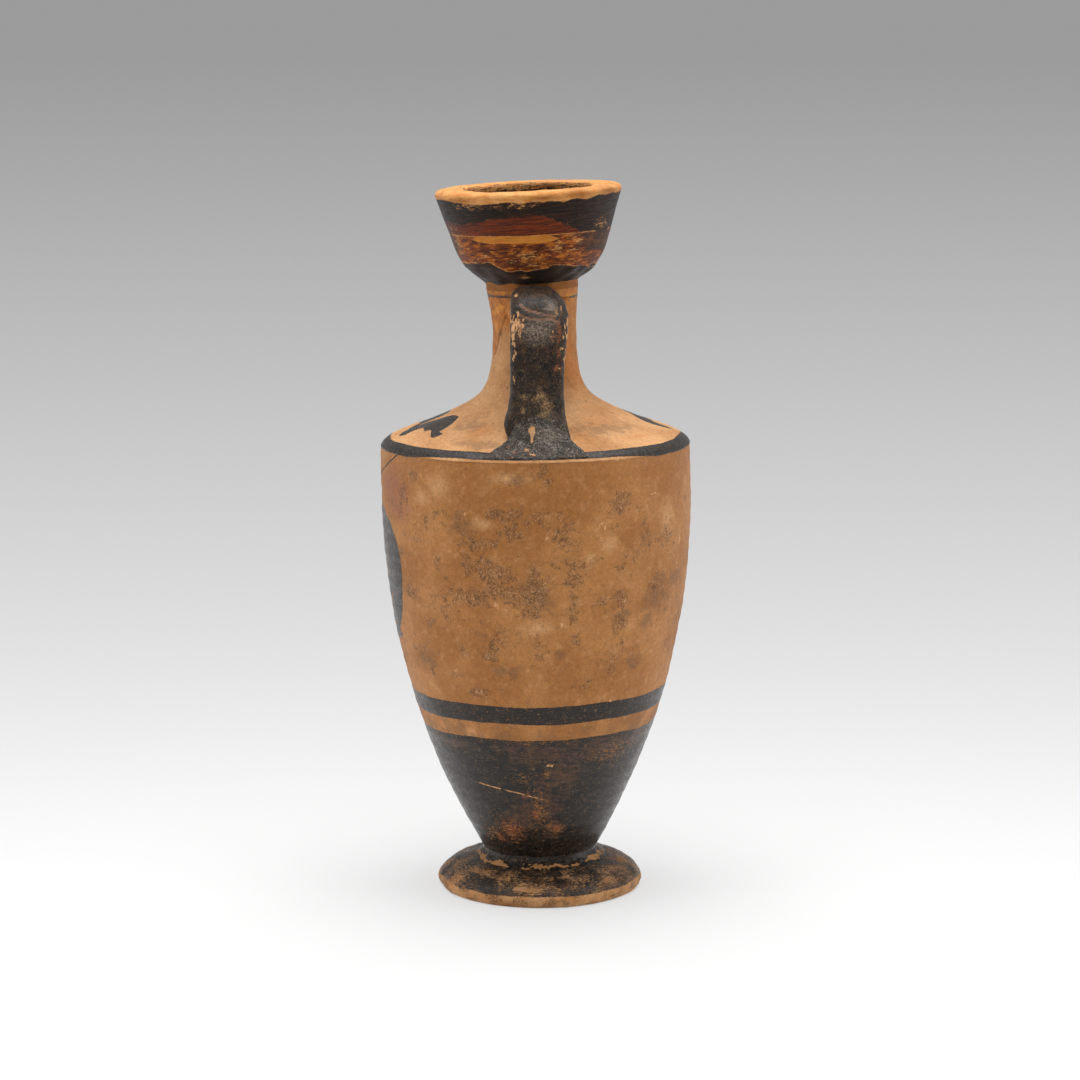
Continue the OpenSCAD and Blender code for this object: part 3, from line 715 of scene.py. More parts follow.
def paint_body():
    a, r, z = body.angle, body.r, body.z
    back = a % 360
    arc = a * ARC
    wobble = edge_wobble(body)
    level = z - 0.004 * body.x + wobble
    gloss = np.maximum(band(level, BAND_LOW, BAND_HIGH), DARK_TOP - level)
    gloss = np.maximum(gloss, z - edge_line(a) + 0.5 * wobble)
    gloss = np.maximum(gloss, shape(arc, z, [(p * ARC, q) for p, q in FIGURE_BACK]))
    gloss = painted_front((back - 180) * ARC, z, gloss)
    outside = r > np.interp(z, body_side[:, 1], body_side[:, 0]) - 1.5
    body.mark("gloss", np.where(outside, gloss, BARE))
    far_crust = blots(back, z, scattered(46, (78, 282), (50, 100), 1.7, 61))
    strewn = band(z, 52, 92) > 0
    body.mark("crust", np.maximum(0.85 * blots(a, z, CRUST), 0.7 * far_crust)
              + strewn * (0.10 + 0.24 * waves(body.points, 9, 72)))
    gap = smooth(band(level, DARK_TOP, BAND_LOW), -0.1, 0.1) * (0.9 + 0.4 * waves(body.points, 6, 73))
    far_veil = blots(back, z, scattered(12, (80, 280), (50, 100), 3.0, 62))
    body.mark("veil", np.maximum(np.maximum(blots(a, z, VEILS), far_veil), gap))
    body.mark("pale", 0.6 * np.maximum(blots(a, z, PALES),
                                       blots(back, z, scattered(12, (80, 280), (50, 100), 3.4, 63))))
    body.mark("chip", blots(a, z, NICKS))
    body.mark("blush", blots(a, z, [(-66, 95, 11, 5.4), (-60, 90, 9, 3), (-56, 94, 3, 2.4)]))
    body.mark("brown", blots(a, z, BROWNS) - 0.8 * blots(a, z, [(-19, 31, 7, 4.5), (32, 27, 8, 6),
                                                              (35, 13, 16, 8), (0, 9.5, 50, 3.2)]))
    body.mark("rust", blots(a, z, RUSTS))
    on_band = smooth(band(level, BAND_LOW, BAND_HIGH), -0.1, 0.1)
    body.mark("speck", 0.35 + blots(a, z, SPECKS) + 0.3 * on_band)
    body.mark("grit_and_glint", smooth(z, 101.5, 102))
    scratch = z - np.interp(a, [-37.8, -23.9, -11.7, 5.3], [28.0, 27.1, 26.2, 24.2])
    body.mark("scratch", np.clip(scratch, -3, 3))
    body.mark("scratch_on", smooth(a, -41, -36) * smooth(-a, -8, 6))
    crack = np.full(len(a), -1.0)
    for k, line in enumerate(CRACKS):
        wide = 0.26 if k == 0 else 0.12
        crack = np.maximum(crack, wide - line_distance(arc, z, [(p * ARC, q) for p, q in line]))
    body.mark("crack", crack)
    body.mark("rim", rim_highlight_line(body, wobble))


def edge_wobble(piece):
    return 0.10 * waves(piece.points, 22, 40) + 0.05 * waves(piece.points, 7, 41)


def edge_line(a):
    """Height at which the black of the shoulder's edge ends."""
    return 102.95 - 0.9 * smooth(np.abs(a + 2), 32, 56)


def rim_highlight_line(piece, wobble):
    """A painted highlight: a pale line just under the painted edge, on the handle's side, where the
    edge's rounding catches the light.
    """
    rim = 0.24 - np.abs(piece.z - edge_line(piece.angle) + 0.34 + 0.5 * wobble)
    return np.clip(rim - 0.5 * smooth(np.abs(piece.angle + 2), 34, 48), -1, 1)


# Painted light: the shoulder, which faces the light from above, is made paler all over
def shoulder_painted_light(piece):
    return 0.75 + 0.25 * waves(piece.points, 9, 64)


def paint_shoulder():
    a, r = shoulder.angle, shoulder.r
    line = r - 32.75 + 0.10 * waves(shoulder.points, 12, 42)
    wobble = edge_wobble(shoulder)
    outside = shoulder.z > shoulder_height(r) - 1
    gloss = np.maximum(line, leaf_paint(shoulder) + 0.06 * waves(shoulder.points, 3, 43))
    gloss = np.minimum(gloss, shoulder.z - edge_line(a) + 0.5 * wobble)
    shoulder.mark("rim", rim_highlight_line(shoulder, wobble))
    shoulder.mark("gloss", np.where(outside, gloss, BARE))
    shoulder.mark("speck", 0.4 * blots(a, r, [(-68, 26, 30, 6), (100, 26, 30, 6)]))
    shoulder.mark("pale", shoulder_painted_light(shoulder) + 0.2 * smooth(a, 0, 20) * smooth(r, 16, 22))
    shoulder.mark("grit_and_glint", smooth(r, 32.5, 33))
    shoulder.mark("veil", blots(a, r, [(40, 24, 24, 3), (-40, 22, 12, 3), (-25, 30, 16, 2),
                                       (150, 27, 30, 4), (-120, 22, 30, 4)]))
    shoulder.mark("warm", 0.4 * blots(a, r, [(-30, 24, 7, 2), (38, 21, 12, 3),
                                             (50, 29, 9, 1), (22, 26, 5, 4)]))


def paint_neck():
    a = neck.angle
    z = neck.z + 0.055 * neck.x + 0.10 * waves(neck.points, 9, 44)
    outside = neck.r > 8.5
    neck.mark("gloss", np.where(outside, 0.30 - np.abs(z - NECK_LINE_Z), BARE))
    neck.mark("speck", 1.0)
    neck.mark("brown", 1.5)
    right = smooth(a, -20, 40) * smooth(-a, -150, -110)
    # At its root pale like the shoulder, with the same painted light, and warmer above and on the right
    up = smooth(neck.z, SEAM_Z, SEAM_Z + 9)
    # A slanted seam left of the strap, and darker clay on its far side
    seam = a - np.interp(neck.z, [121, 133], [-76, -36]) + 2.5 * waves(neck.points, 3, 74)
    tall = smooth(neck.z, 121, 123) * smooth(-neck.z, -134, -132)
    beyond = smooth(-seam, -1, 5) * smooth(a, -118, -84) * smooth(neck.z, 120, 124)
    warm = up * np.maximum(smooth(neck.z, 122, 133), 0.75 * right)
    neck.mark("warm", np.maximum(warm * (0.75 + 0.25 * waves(neck.points, 8, 45)), beyond))
    plain = 0.8 * (1 - right) * (1 - smooth(neck.z, 124, 132)) + 0.15 * waves(neck.points, 6, 65)
    ridge = 0.5 * np.exp(-((seam - 6) / 3) ** 2) * tall
    neck.mark("pale", (1 - up) * shoulder_painted_light(neck) + up * plain + ridge)
    neck.mark("veil", blots(a, neck.z, [(-110, 128, 20, 4), (170, 131, 30, 4)]))
    top = 0.6 * smooth(neck.z, 135.6, 137.2)
    line = 1.1 * np.exp(-(seam / 1.8) ** 2) * tall
    neck.mark("stain", np.maximum(top, np.maximum(0.5 * beyond, line)))
    spots = [(-68, 132.2, 8, 0.8), (-58, 133.0, 9, 1.2), (-48, 133.8, 8, 1.2), (-66, 129, 7, 2),
             (52, 135.2, 16, 1.0)]
    neck.mark("amber", np.maximum(blots(a, neck.z, spots), np.maximum(top, 0.45 * beyond)))


def paint_foot():
    a, r = foot.angle, foot.r
    wobble = 0.05 * waves(foot.points, 8, 46) + 0.03 * waves(foot.points, 2, 66)
    outside = (r > BASE_R - 0.5) & (foot.z > 1.9)
    foot.mark("gloss", np.where(outside, foot.z - FOOT_EDGE_Z + wobble, BARE))
    tan_flecks = blots(a, r, [(-65, 21.2, 10, 1.3), (-12, 21.7, 12, 0.5), (21, 21.6, 16, 0.5),
                              (43, 21.3, 8, 0.9), (63, 19.6, 10, 1.7), (-30, 19.5, 9, 0.7),
                              (5, 18.5, 13, 0.8), (-48, 18.6, 9, 0.9), (150, 20, 30, 1.5),
                              (82, 18.6, 14, 2.0)])
    foot.mark("speck", 1.3 + 0.8 * tan_flecks + 0.4 * waves(foot.points, 5, 47))
    foot.mark("brown", 0.5 + 0.4 * waves(foot.points, 6, 48))
    foot.mark("rust", 0.7 * blots(a, r, [(62, 19, 12, 2.0)]))
    edge = foot.z < 2.6
    foot.mark("pale", 0.7 + 0.3 * waves(foot.points, 6, 70))
    foot.mark("veil", edge * np.maximum(0, waves(foot.points, 7, 67)))
    foot.mark("crust", edge * np.maximum(0, waves(foot.points, 4, 68)))
    foot.mark("grit_and_glint", smooth(r, 20.5, 22.5))


def paint_fillet():
    a = foot_fillet.angle
    # Bare clay shows in a thin broken line, wider in lumps at both sides
    wide = 0.16 + 0.10 * waves(foot_fillet.points, 2.2, 49) + 0.12 * waves(foot_fillet.points, 0.9, 71)
    wide += 0.25 * blots(a, 0 * a, [(-66, 0, 9, 1), (60, 0, 8, 1), (-42, 0, 5, 1)])
    wide -= 0.35 * blots(a, 0 * a, [(-24, 0, 6, 1), (44, 0, 6, 1)])
    middle = 7.2 + 0.2 * smooth(np.abs(a), 30, 70) + 0.18 * waves(foot_fillet.points, 5, 50)
    foot_fillet.mark("gloss", np.abs(foot_fillet.z - middle) - wide)
    foot_fillet.mark("speck", 0.6)
    foot_fillet.mark("brown", 0.1)
    foot_fillet.mark("pale", 0.6)


def lower_chip(x, z):
    return np.clip(0.5 + 3.0 * shape(x, z, LOWER_CHIP), 0, 2.5)


def paint_handle():
    x, z = handle.x, handle.z
    rows = len(x) // len(strap_turn)
    front = np.tile(strap_face, rows)
    side = np.tile(np.cos(strap_turn), rows)
    handle.mark("gloss", ALL_BLACK)
    ragged = 0.5 + 0.5 * waves(handle.points, 2.4, 69)
    right_edge = smooth(side, 0.88, 0.97) * smooth(z, 118, 122) * smooth(-z, -137, -135) * ragged
    left_edge = smooth(-side, 0.92, 0.98) * smooth(z, 128, 131) * smooth(-z, -136, -134) * ragged
    chips = np.maximum(blots(x, z, STRAP_CHIPS), lower_chip(x, z)) * front
    handle.mark("chip", np.maximum(chips, 0.75 * np.maximum(right_edge, left_edge)))
    handle.mark("rust", 0.9 * blots(x, z, STRAP_RUST) * front)
    handle.mark("brown", 0.7 * front)
    handle.mark("ochre", blots(x, z, OCHRE) * front)
    crease = np.zeros(len(x))
    for line in STRAP_CREASES:
        crease = np.maximum(crease, 1.2 - line_distance(x, z, line) / 0.42)
    handle.mark("crease", np.clip(crease, 0, 1.2) * front)
    # A grey film: a lighter patch low on the right, and painted sheen of the light from above on the
    # strap's upper part
    handle.mark("dust_and_sheen", blots(x, z, [(2.8, 109.0, 3.6, 2.8), (0.8, 130.0, 3.6, 2.6),
                                     (3.8, 135.0, 1.2, 1.3)]) * front)
    low_left = 1.3 * blots(x, z, [(-2.4, 109.2, 2.8, 3.4)])
    handle.mark("olive", np.maximum(np.clip(1.2 - 0.11 * np.abs(z - 113), 0, 1), low_left) * front)
    # Grit in the relief, and a few painted glints of light low on the strap
    handle.mark("grit_and_glint", 0.5 + 0.6 * smooth(z, 118, 128) * front + 0.8 * smooth(-z, -110, -106) * front)


def paint_apron():
    x, z = handle_apron.x, handle_apron.z
    handle_apron.mark("gloss", ALL_BLACK)
    handle_apron.mark("chip", np.maximum(blots(x, z, STRAP_CHIPS), lower_chip(x, z)))
    handle_apron.mark("rust", 0.8 * blots(x, z, APRON_RUST))
    # Grit in the relief, and painted glints of light strewn over the apron
    handle_apron.mark("grit_and_glint", 2.4 - 0.5 * smooth(-x, 4, 8))
    # A thin grey film all over the apron and thicker low on the right, partly painted sheen on the grainy
    # gloss
    handle_apron.mark("dust_and_sheen", np.maximum(0.22, blots(x, z, [(2.8, 107.8, 3.4, 2.6)])))


def paint_pad():
    handle_pad.mark("gloss", BARE)
    handle_pad.mark("warm", 1.0)
    handle_pad.mark("pale", 1.2 * blots(handle_pad.angle, handle_pad.z, [(-34, 132.6, 10, 2.2)]))


def paint_mouth():
    a, r, z = mouth.angle, mouth.r, mouth.z
    slow = waves(mouth.points, 20, 51)
    quick = waves(mouth.points, 5, 52)
    inside = (r < 14.6) & (z > 142)
    lip_low = 157.75 + 0.6 * smooth(np.abs(a), 30, 70) + 0.14 * slow + 0.12 * quick
    # The black band is narrower in front of the handle and reaches lower to its right
    band_low = np.interp(a, [-180, -120, -60, -39, -19, 0, 12, 20, 36, 60, 110, 180],
                         [152.6, 153.6, 152.9, 153.2, 154.4, 154.7, 154.4, 153.1, 150.8, 150.0,
                          151.6, 152.6]) + 0.10 * quick
    base_top = np.interp(a, [-180, -100, -58, -35, -20, -4, 12, 18, 44, 67, 120, 180],
                         [142.8, 143.6, 144.1, 144.3, 142.6, 142.1, 142.6, 143.4, 142.9, 141.8,
                          143.4, 142.8]) + 0.12 * quick
    base_low = 139.15 + 0.10 * quick
    mouth.mark("dark", np.where(inside, 0.4, np.maximum(band(z, band_low, lip_low),
                                                         band(z, base_low, base_top))))
    mouth.mark("red", np.where(inside, BARE, band(z, RED_LOW, band_low + 0.3)))
    stripe_on = smooth(a, -54, -36) * smooth(-a, -32, -10)
    mouth.mark("stripe", np.where(inside, BARE, 0.85 - np.abs(z - STRIPE_Z + 0.1 * quick)
                                  - 1.6 * (1 - stripe_on)))
    mouth.mark("middle", np.where(inside, BARE, band(z, base_top, RED_LOW - 0.05)))
    mouth.mark("purple", np.maximum(smooth(a, 12, 60) * smooth(-a, -130, -80),
                                    smooth(-a, 40, 84) * 0.9) * smooth(z, 144, 147.5))
    mouth.mark("lip", np.where(inside, smooth(z, 158.0, 158.7), smooth(z - lip_low, -0.1, 0.1)))
    mouth.mark("inside", inside)
    scars = [(36, 148.8, 9, 1.2, -6), (32, 146.6, 7, 1.2), (-64, 149, 7, 3.2), (-70, 152, 4, 1.0),
             (-38, 145.8, 9, 0.9), (0, 145.6, 16, 1.6), (2, 143.7, 12, 0.7), (-14, 144.8, 7, 0.6),
             (-40, 157.3, 14, 1.1), (-3, 157.1, 9, 0.9), (-20, 156.9, 5, 0.6), (20, 147.8, 8, 1.6),
             (-5, 141.0, 7, 0.6), (60, 152, 10, 1.2), (150, 149, 24, 2.6), (-140, 148, 20, 2.6),
             (-170, 156.5, 20, 0.8), (110, 156.5, 12, 0.8)]
    mouth.mark("scar", np.logical_not(inside) * blots(a, z, scars))
    collar = 1.3 * smooth(base_low + 0.3 - z, 0, 0.4) * (z < 142)
    stains = blots(a, z, [(33, 159, 14, 1.4), (60, 159, 16, 1.2), (160, 159, 20, 1.2),
                          (-46, 158.4, 14, 0.8), (10, 158.6, 14, 0.7)])
    mouth.mark("soiled", np.maximum(collar, 0.8 * stains))


paint_body()
paint_shoulder()
paint_neck()
paint_foot()
paint_fillet()
paint_handle()
paint_apron()
paint_pad()
paint_mouth()


# Materials

def srgb(r, g, b):
    """A colour written as on a screen, 0 to 255, for a shader."""
    return tuple(c / 12.92 if c <= 0.04045 else ((c + 0.055) / 1.055) ** 2.4
                 for c in (r / 255, g / 255, b / 255))


# How much pale bloom of dust shows where surfaces turn away
DUSTINESS = 0.05


class Signal:
    """What a material's node gives out, open to plain arithmetic."""

    def __init__(self, nodes, socket):
        self.nodes = nodes
        self.socket = socket

    def __add__(self, other):
        return self.nodes.calc("ADD", self, other)

    def __sub__(self, other):
        return self.nodes.calc("SUBTRACT", self, other)

    def __rsub__(self, other):
        return self.nodes.calc("SUBTRACT", other, self)

    def __mul__(self, other):
        return self.nodes.calc("MULTIPLY", self, other)

    def __abs__(self):
        return self.nodes.calc("ABSOLUTE", self)


class Nodes:
    """Short words for the nodes of one material. Sizes of patterns are in millimetres."""

    def __init__(self, name, slope=-1.3):
        self.material = bpy.data.materials.new(name)
        self.material.use_nodes = True
        self.tree = self.material.node_tree
        self.tree.nodes.clear()
        self.where = self.add("ShaderNodeTexCoord", out="Object")
        split = self.add("ShaderNodeSeparateXYZ", {0: self.where}).socket.node
        x, self.y, z = (Signal(self, socket) for socket in split.outputs)
        self.radius = self.calc("SQRT", x * x + self.y * self.y)
        # A place whose first number runs up the outside, for marks that follow the wheel
        self.wheel = self.add("ShaderNodeCombineXYZ", {0: z * slope + self.radius, 1: x, 2: self.y})

    def put(self, socket, value):
        if isinstance(value, Signal):
            self.tree.links.new(value.socket, socket)
        elif isinstance(value, tuple) and len(value) == 3 and socket.type == "RGBA":
            socket.default_value = (*value, 1)
        else:
            socket.default_value = value

    def add(self, kind, inputs=None, out=0, **settings):
        """A new node with its inputs by name or number, as what it gives out."""
        node = self.tree.nodes.new(kind)
        for key, value in settings.items():
            setattr(node, key, value)
        for key, value in (inputs or {}).items():
            self.put(node.inputs[key], value)
        return Signal(self, node.outputs[out]) if node.outputs else node

    def marked(self, name):
        return self.add("ShaderNodeAttribute", out="Fac", attribute_type="GEOMETRY", attribute_name=name)

    def calc(self, operation, *values):
        return self.add("ShaderNodeMath", dict(enumerate(values)), operation=operation)

    def highest(self, first, *others):
        for other in others:
            first = self.calc("MAXIMUM", first, other)
        return first

    def noise(self, size, detail=3.0, rough=0.5, along=None, tall=1.0, seed=0, twist=0.0):
        """Noise with features of a size, drawn out round the wheel to the length along, or
        so many times taller than wide."""
        long = 1 / ((along or size) * MM)
        place = self.add("ShaderNodeMapping", {
            "Vector": self.where if along is None else self.wheel,
            "Location": (seed * 1.37, seed * 2.11, seed * 0.73),
            "Scale": (1 / (size * MM), long, long / tall)})
        return self.add("ShaderNodeTexNoise", {"Vector": place, "Scale": 1.0, "Detail": detail,
                                               "Roughness": rough, "Distortion": twist}, "Fac")

    def step(self, value, low, high, start=0.0, end=1.0):
        return self.add("ShaderNodeMapRange", {"Value": value, "From Min": low, "From Max": high,
                                               "To Min": start, "To Max": end},
                        interpolation_type="SMOOTHSTEP")

    def between(self, share, a, b):
        """A number between a and b."""
        return self.add("ShaderNodeMapRange", {"Value": share, "To Min": a, "To Max": b})

    def mix(self, share, a, b, way="MIX"):
        return self.add("ShaderNodeMix", {0: share, 6: a, 7: b}, 2, data_type="RGBA", blend_type=way)

    def lay(self, under, tone, value, low, high, most=1.0):
        """The colour under, covered with a tone where the value rises from low to high."""
        return self.mix(self.step(value, low, high) * most, under, tone)

    def grey(self, value):
        return self.add("ShaderNodeCombineColor", {0: value, 1: value, 2: value})

    def shade(self, colour, value, depth):
        """The colour made lighter or darker by a noise, by depth at most."""
        return self.mix(1.0, colour, self.grey(value * (2 * depth) + (1 - depth)), "MULTIPLY")

    def bump(self, height, depth):
        """Relief whose height of 1 stands for depth, in millimetres."""
        return self.add("ShaderNodeBump", {"Height": height, "Distance": depth * MM})

    def finish(self, shader):
        self.add("ShaderNodeOutputMaterial", {"Surface": shader})
        return self.material

    def done(self, colour, roughness, normal, specular):
        return self.finish(self.add("ShaderNodeBsdfPrincipled", {
            "Base Color": colour, "Roughness": roughness, "Normal": normal,
            "Specular IOR Level": specular, "Sheen Weight": DUSTINESS}))


CLAY = srgb(172, 116, 62)
CLAY_DEEP = srgb(156, 100, 46)
CLAY_PALE = srgb(206, 156, 106)
CLAY_WARM = srgb(186, 110, 34)
CRUST_TONE = srgb(92, 58, 28)
VEIL_TONE = srgb(112, 80, 50)
CHIP_TONE = srgb(210, 160, 112)
STAIN_TONE = srgb(126, 70, 22)
AMBER_TONE = srgb(210, 138, 52)
MAUVE = srgb(146, 88, 66)
CRACK_TONE = srgb(52, 36, 26)
BLACK = srgb(11, 8, 6)
SMOKE = srgb(38, 29, 22)
UMBER = srgb(100, 66, 42)
CREASE_TONE = srgb(138, 98, 74)
RUST = srgb(146, 82, 46)
OLIVE = srgb(100, 84, 60)
OCHRE_TONE = srgb(180, 142, 96)
# Grey of dust, also used as painted sheen on the black gloss
DUST_AND_SHEEN = srgb(150, 134, 118)
# Pale specks that stand for glints of light: painted highlights
PAINTED_GLINT_TONE = srgb(172, 164, 154)
# The mouth's own colours
LIP_CLAY = srgb(190, 120, 52)
LIP_PALE = srgb(220, 160, 96)
LIP_BROWN = srgb(146, 86, 34)
SOILED_TONE = srgb(136, 80, 30)
AMBER_DARK = srgb(60, 24, 6)
AMBER_BROWN = srgb(128, 58, 10)
AMBER_BRIGHT = srgb(184, 104, 24)
AMBER_PALE = srgb(214, 152, 78)
RED_DARK = srgb(62, 24, 6)
RED_BROWN = srgb(118, 48, 8)
RED_PALE = srgb(166, 100, 44)
PLUM_DARK = srgb(46, 28, 20)
PLUM = srgb(84, 52, 38)
STRIPE_TONE = srgb(204, 132, 48)
STRIPE_BROWN = srgb(166, 94, 22)
BAND_BLACK = srgb(19, 11, 6)
BAND_BROWN = srgb(62, 33, 15)
BAND_WORN = srgb(92, 64, 42)
SCAR_TONE = srgb(206, 148, 86)
NICK_TONE = srgb(190, 138, 82)
PIT_TONE = srgb(52, 32, 20)


def bare_clay(n):
    """Colour and relief of the bare fired clay."""
    medium = n.noise(2.4, 5, 0.65, seed=2)
    colour = n.mix(n.step(n.noise(14, 2, seed=1), 0.38, 0.62), CLAY_DEEP, CLAY)
    colour = n.lay(colour, CLAY_PALE, medium, 0.5, 0.76, 0.4)
    colour = n.lay(colour, CLAY_DEEP, n.noise(1.3, 4, 0.7, along=9, seed=4), 0.52, 0.75, 0.35)
    pale = n.marked("pale") + n.noise(1.6, 5, 0.7, seed=13) * 0.9
    colour = n.lay(colour, CLAY_PALE, pale, 0.5, 1.6, 0.8)
    colour = n.mix(n.marked("warm") * n.step(medium, 0.2, 0.7, 0.45, 0.9), colour, CLAY_WARM)
    colour = n.lay(colour, MAUVE, n.marked("blush"), 0.1, 1.3, n.step(medium, 0.3, 0.7, 0.3, 0.8))
    stain = n.marked("stain") + n.noise(1.2, 5, 0.7, seed=14) * 2.2
    colour = n.lay(colour, STAIN_TONE, stain, 1.45, 2.05, 0.9)
    amber = n.marked("amber") + n.noise(0.9, 5, 0.7, seed=15) * 2.0
    colour = n.lay(colour, AMBER_TONE, amber, 1.4, 2.1, 0.9)
    # Soft grey-brown veils, and crusts: knots of thin dark curls and grains
    veil = n.marked("veil") * 0.3 + n.noise(2.2, 5, 0.7, seed=7)
    colour = n.lay(colour, VEIL_TONE, veil, 0.6, 0.88, 0.5)
    place = n.step(n.marked("crust") * 0.24 + n.noise(1.8, 5, 0.7, seed=5, twist=0.5), 0.59, 0.67)
    knots = n.noise(1.25, 3, 0.55, seed=6, twist=1.2)
    curl = n.step(abs(knots - 0.5), 0.050, 0.015)
    grain = n.step(n.noise(0.8, 5, 0.75, seed=8, twist=0.8), 0.52, 0.60)
    crust = place * n.highest(curl, grain)
    colour = n.mix(place * 0.16, colour, VEIL_TONE)
    colour = n.mix(crust * 0.72, colour, CRUST_TONE)
    # Painted highlight: a pale line beside each dark curl, as on the lit side of a raised flake
    curl_highlight = n.step(abs(knots - 0.56), 0.02, 0.0)
    colour = n.mix(place * curl_highlight * 0.7, colour, CHIP_TONE)
    # Lone dark grains, pale flecks, and the mottling of the whole
    colour = n.lay(colour, CRUST_TONE, n.noise(0.42, 2, 0.5, seed=9), 0.73, 0.79, 0.5)
    fleck = n.noise(0.55, 4, 0.7, seed=10, twist=1.6) + n.noise(5, 2, seed=11) * 0.22
    fleck = n.step(fleck + n.marked("crust") * 0.07, 0.76, 0.83)
    colour = n.mix(fleck * 0.7, colour, CHIP_TONE)
    colour = n.shade(colour, n.noise(1.0, 6, 0.75, seed=16), 0.48)
    colour = n.shade(colour, n.noise(0.4, 4, 0.7, seed=3), 0.44)
    return colour, n.noise(0.35, 3, 0.6, seed=12) * 0.7 + crust * 0.5 + medium * 0.9 - fleck


def ragged_edge(n, big, small, seed):
    """Numbers about 0 that fray a painted edge, in millimetres."""
    return ((n.noise(0.9, 3, 0.6, seed=seed) - 0.5) * (2 * big)
            + (n.noise(0.24, 2, seed=seed + 1) - 0.5) * (2 * small))


def painted_clay(name, brushed=True, specular=0.34):
    """Fired clay with worn black gloss wherever gloss is marked above 0. Brushed gloss has
    streaks round the wheel."""
    n = Nodes(name)
    clay, clay_relief = bare_clay(n)
    laid = n.step(n.marked("gloss") + ragged_edge(n, 0.17, 0.10, 20), -0.05, 0.07)
    # The gloss: streaks left by the brush and the wheel, brown where it is thin
    streak = n.noise(0.38, 5, 0.75, along=3.2 if brushed else None, seed=27)
    patch = n.noise(2.0, 5, 0.7, seed=28)
    blend = streak * 0.6 + patch * 0.4
    black = n.mix(n.step(blend, 0.42, 0.62), BLACK, SMOKE)
    black = n.lay(black, UMBER, n.marked("brown") * 0.16 + blend, 0.56, 0.78, 0.5)
    speckle = n.noise(0.42, 5, 0.8, seed=29)
    black = n.lay(black, RUST, n.marked("rust") * 0.16 + speckle, 0.60, 0.74, 0.75)
    olive = n.marked("olive") * 0.08 + n.noise(0.34, 4, 0.8, seed=34)
    black = n.lay(black, OLIVE, olive, 0.58, 0.68, 0.55)
    ochre = n.marked("ochre") * 0.7 + n.noise(1.0, 6, 0.82, seed=30) * 4.0
    knots = n.step(abs(n.noise(0.7, 3, 0.6, seed=40, twist=1.5) - 0.5), 0.08, 0.02, 0.15, 0.95)
    black = n.lay(black, OCHRE_TONE, ochre, 2.15, 3.1, knots)
    brushed_thin = n.step(streak, 0.3, 0.6, 0.35, 0.85)
    black = n.lay(black, CREASE_TONE, n.marked("crease"), 0.2, 1.0, brushed_thin)
    # A grey film, partly dust and partly painted sheen of the light from above
    black = n.lay(black, DUST_AND_SHEEN, speckle, 0.38, 0.64, n.marked("dust_and_sheen") * 0.68)
    grit_and_glint = n.marked("grit_and_glint")
    # Painted highlights: pale specks standing for glints of light on the grainy gloss, mostly on the
    # apron
    painted_glint = n.step(n.noise(0.36, 5, 0.7, seed=41), 0.51, 0.64) * n.step(patch, 0.42, 0.56)
    black = n.lay(black, PAINTED_GLINT_TONE, grit_and_glint, 1.2, 2.2, painted_glint * 0.7)
    # Where it is lost: chips, fine horizontal flecks, a scratch and pin holes
    chip = n.marked("chip")
    chip_edge = n.noise(0.5, 5, 0.8, tall=1.8, seed=22) * 5.0 - 2.7
    chip = n.step(chip + chip_edge * n.step(chip, 0.0, 0.3), 0.45, 0.62)
    flecks = n.step(n.marked("speck") * 0.08 + n.noise(0.36, 5, 0.8, along=0.9, seed=23), 0.63, 0.71)
    pin = n.step(n.noise(0.36, 2, 0.6, seed=25), 0.76, 0.80)
    scratch = n.step(abs(n.marked("scratch")), 0.20, 0.08) * n.marked("scratch_on")
    scratch = scratch * n.step(n.noise(1.0, 4, 0.7, seed=26), 0.42, 0.5)
    covered = laid * (1.0 - n.highest(chip, flecks, pin, scratch) * 0.9)
    colour = n.mix(covered, clay, black)
    bare = n.step(n.noise(0.4, 4, 0.7, seed=35), 0.3, 0.6, 0.5, 0.95)
    colour = n.mix(n.highest(chip, scratch) * bare, colour, CHIP_TONE)
    # Painted highlight: a pale broken line under the painted edge, where its rounding would catch the
    # light
    rim = n.marked("rim") + ragged_edge(n, 0.14, 0.08, 36)
    rim_highlight_strength = n.step(n.noise(1.6, 4, 0.7, seed=38), 0.35, 0.6, 0.1, 0.6)
    colour = n.lay(colour, CHIP_TONE, rim, 0.02, 0.14, rim_highlight_strength)
    crack = n.step(n.marked("crack"), 0.02, 0.14)
    colour = n.mix(crack * n.step(n.noise(0.8, 3, seed=37), 0.3, 0.45), colour, CRACK_TONE)
    rough = n.between(covered, 0.68, n.step(n.noise(1.2, 5, 0.7, seed=31), 0.3, 0.7, 0.20, 0.44))
    grit = n.noise(0.42, 4, 0.7, seed=33) * (grit_and_glint * 2.4 + 0.7)
    lumps = n.noise(1.1, 2, 0.5, seed=39) * (grit_and_glint * 4.0)
    relief = clay_relief * n.between(covered, 1.0, 0.3) + grit + lumps
    relief = relief + covered + streak * (covered * 0.8)
    return n.done(colour, rough, n.bump(relief - crack * 4.0, 0.04), specular)


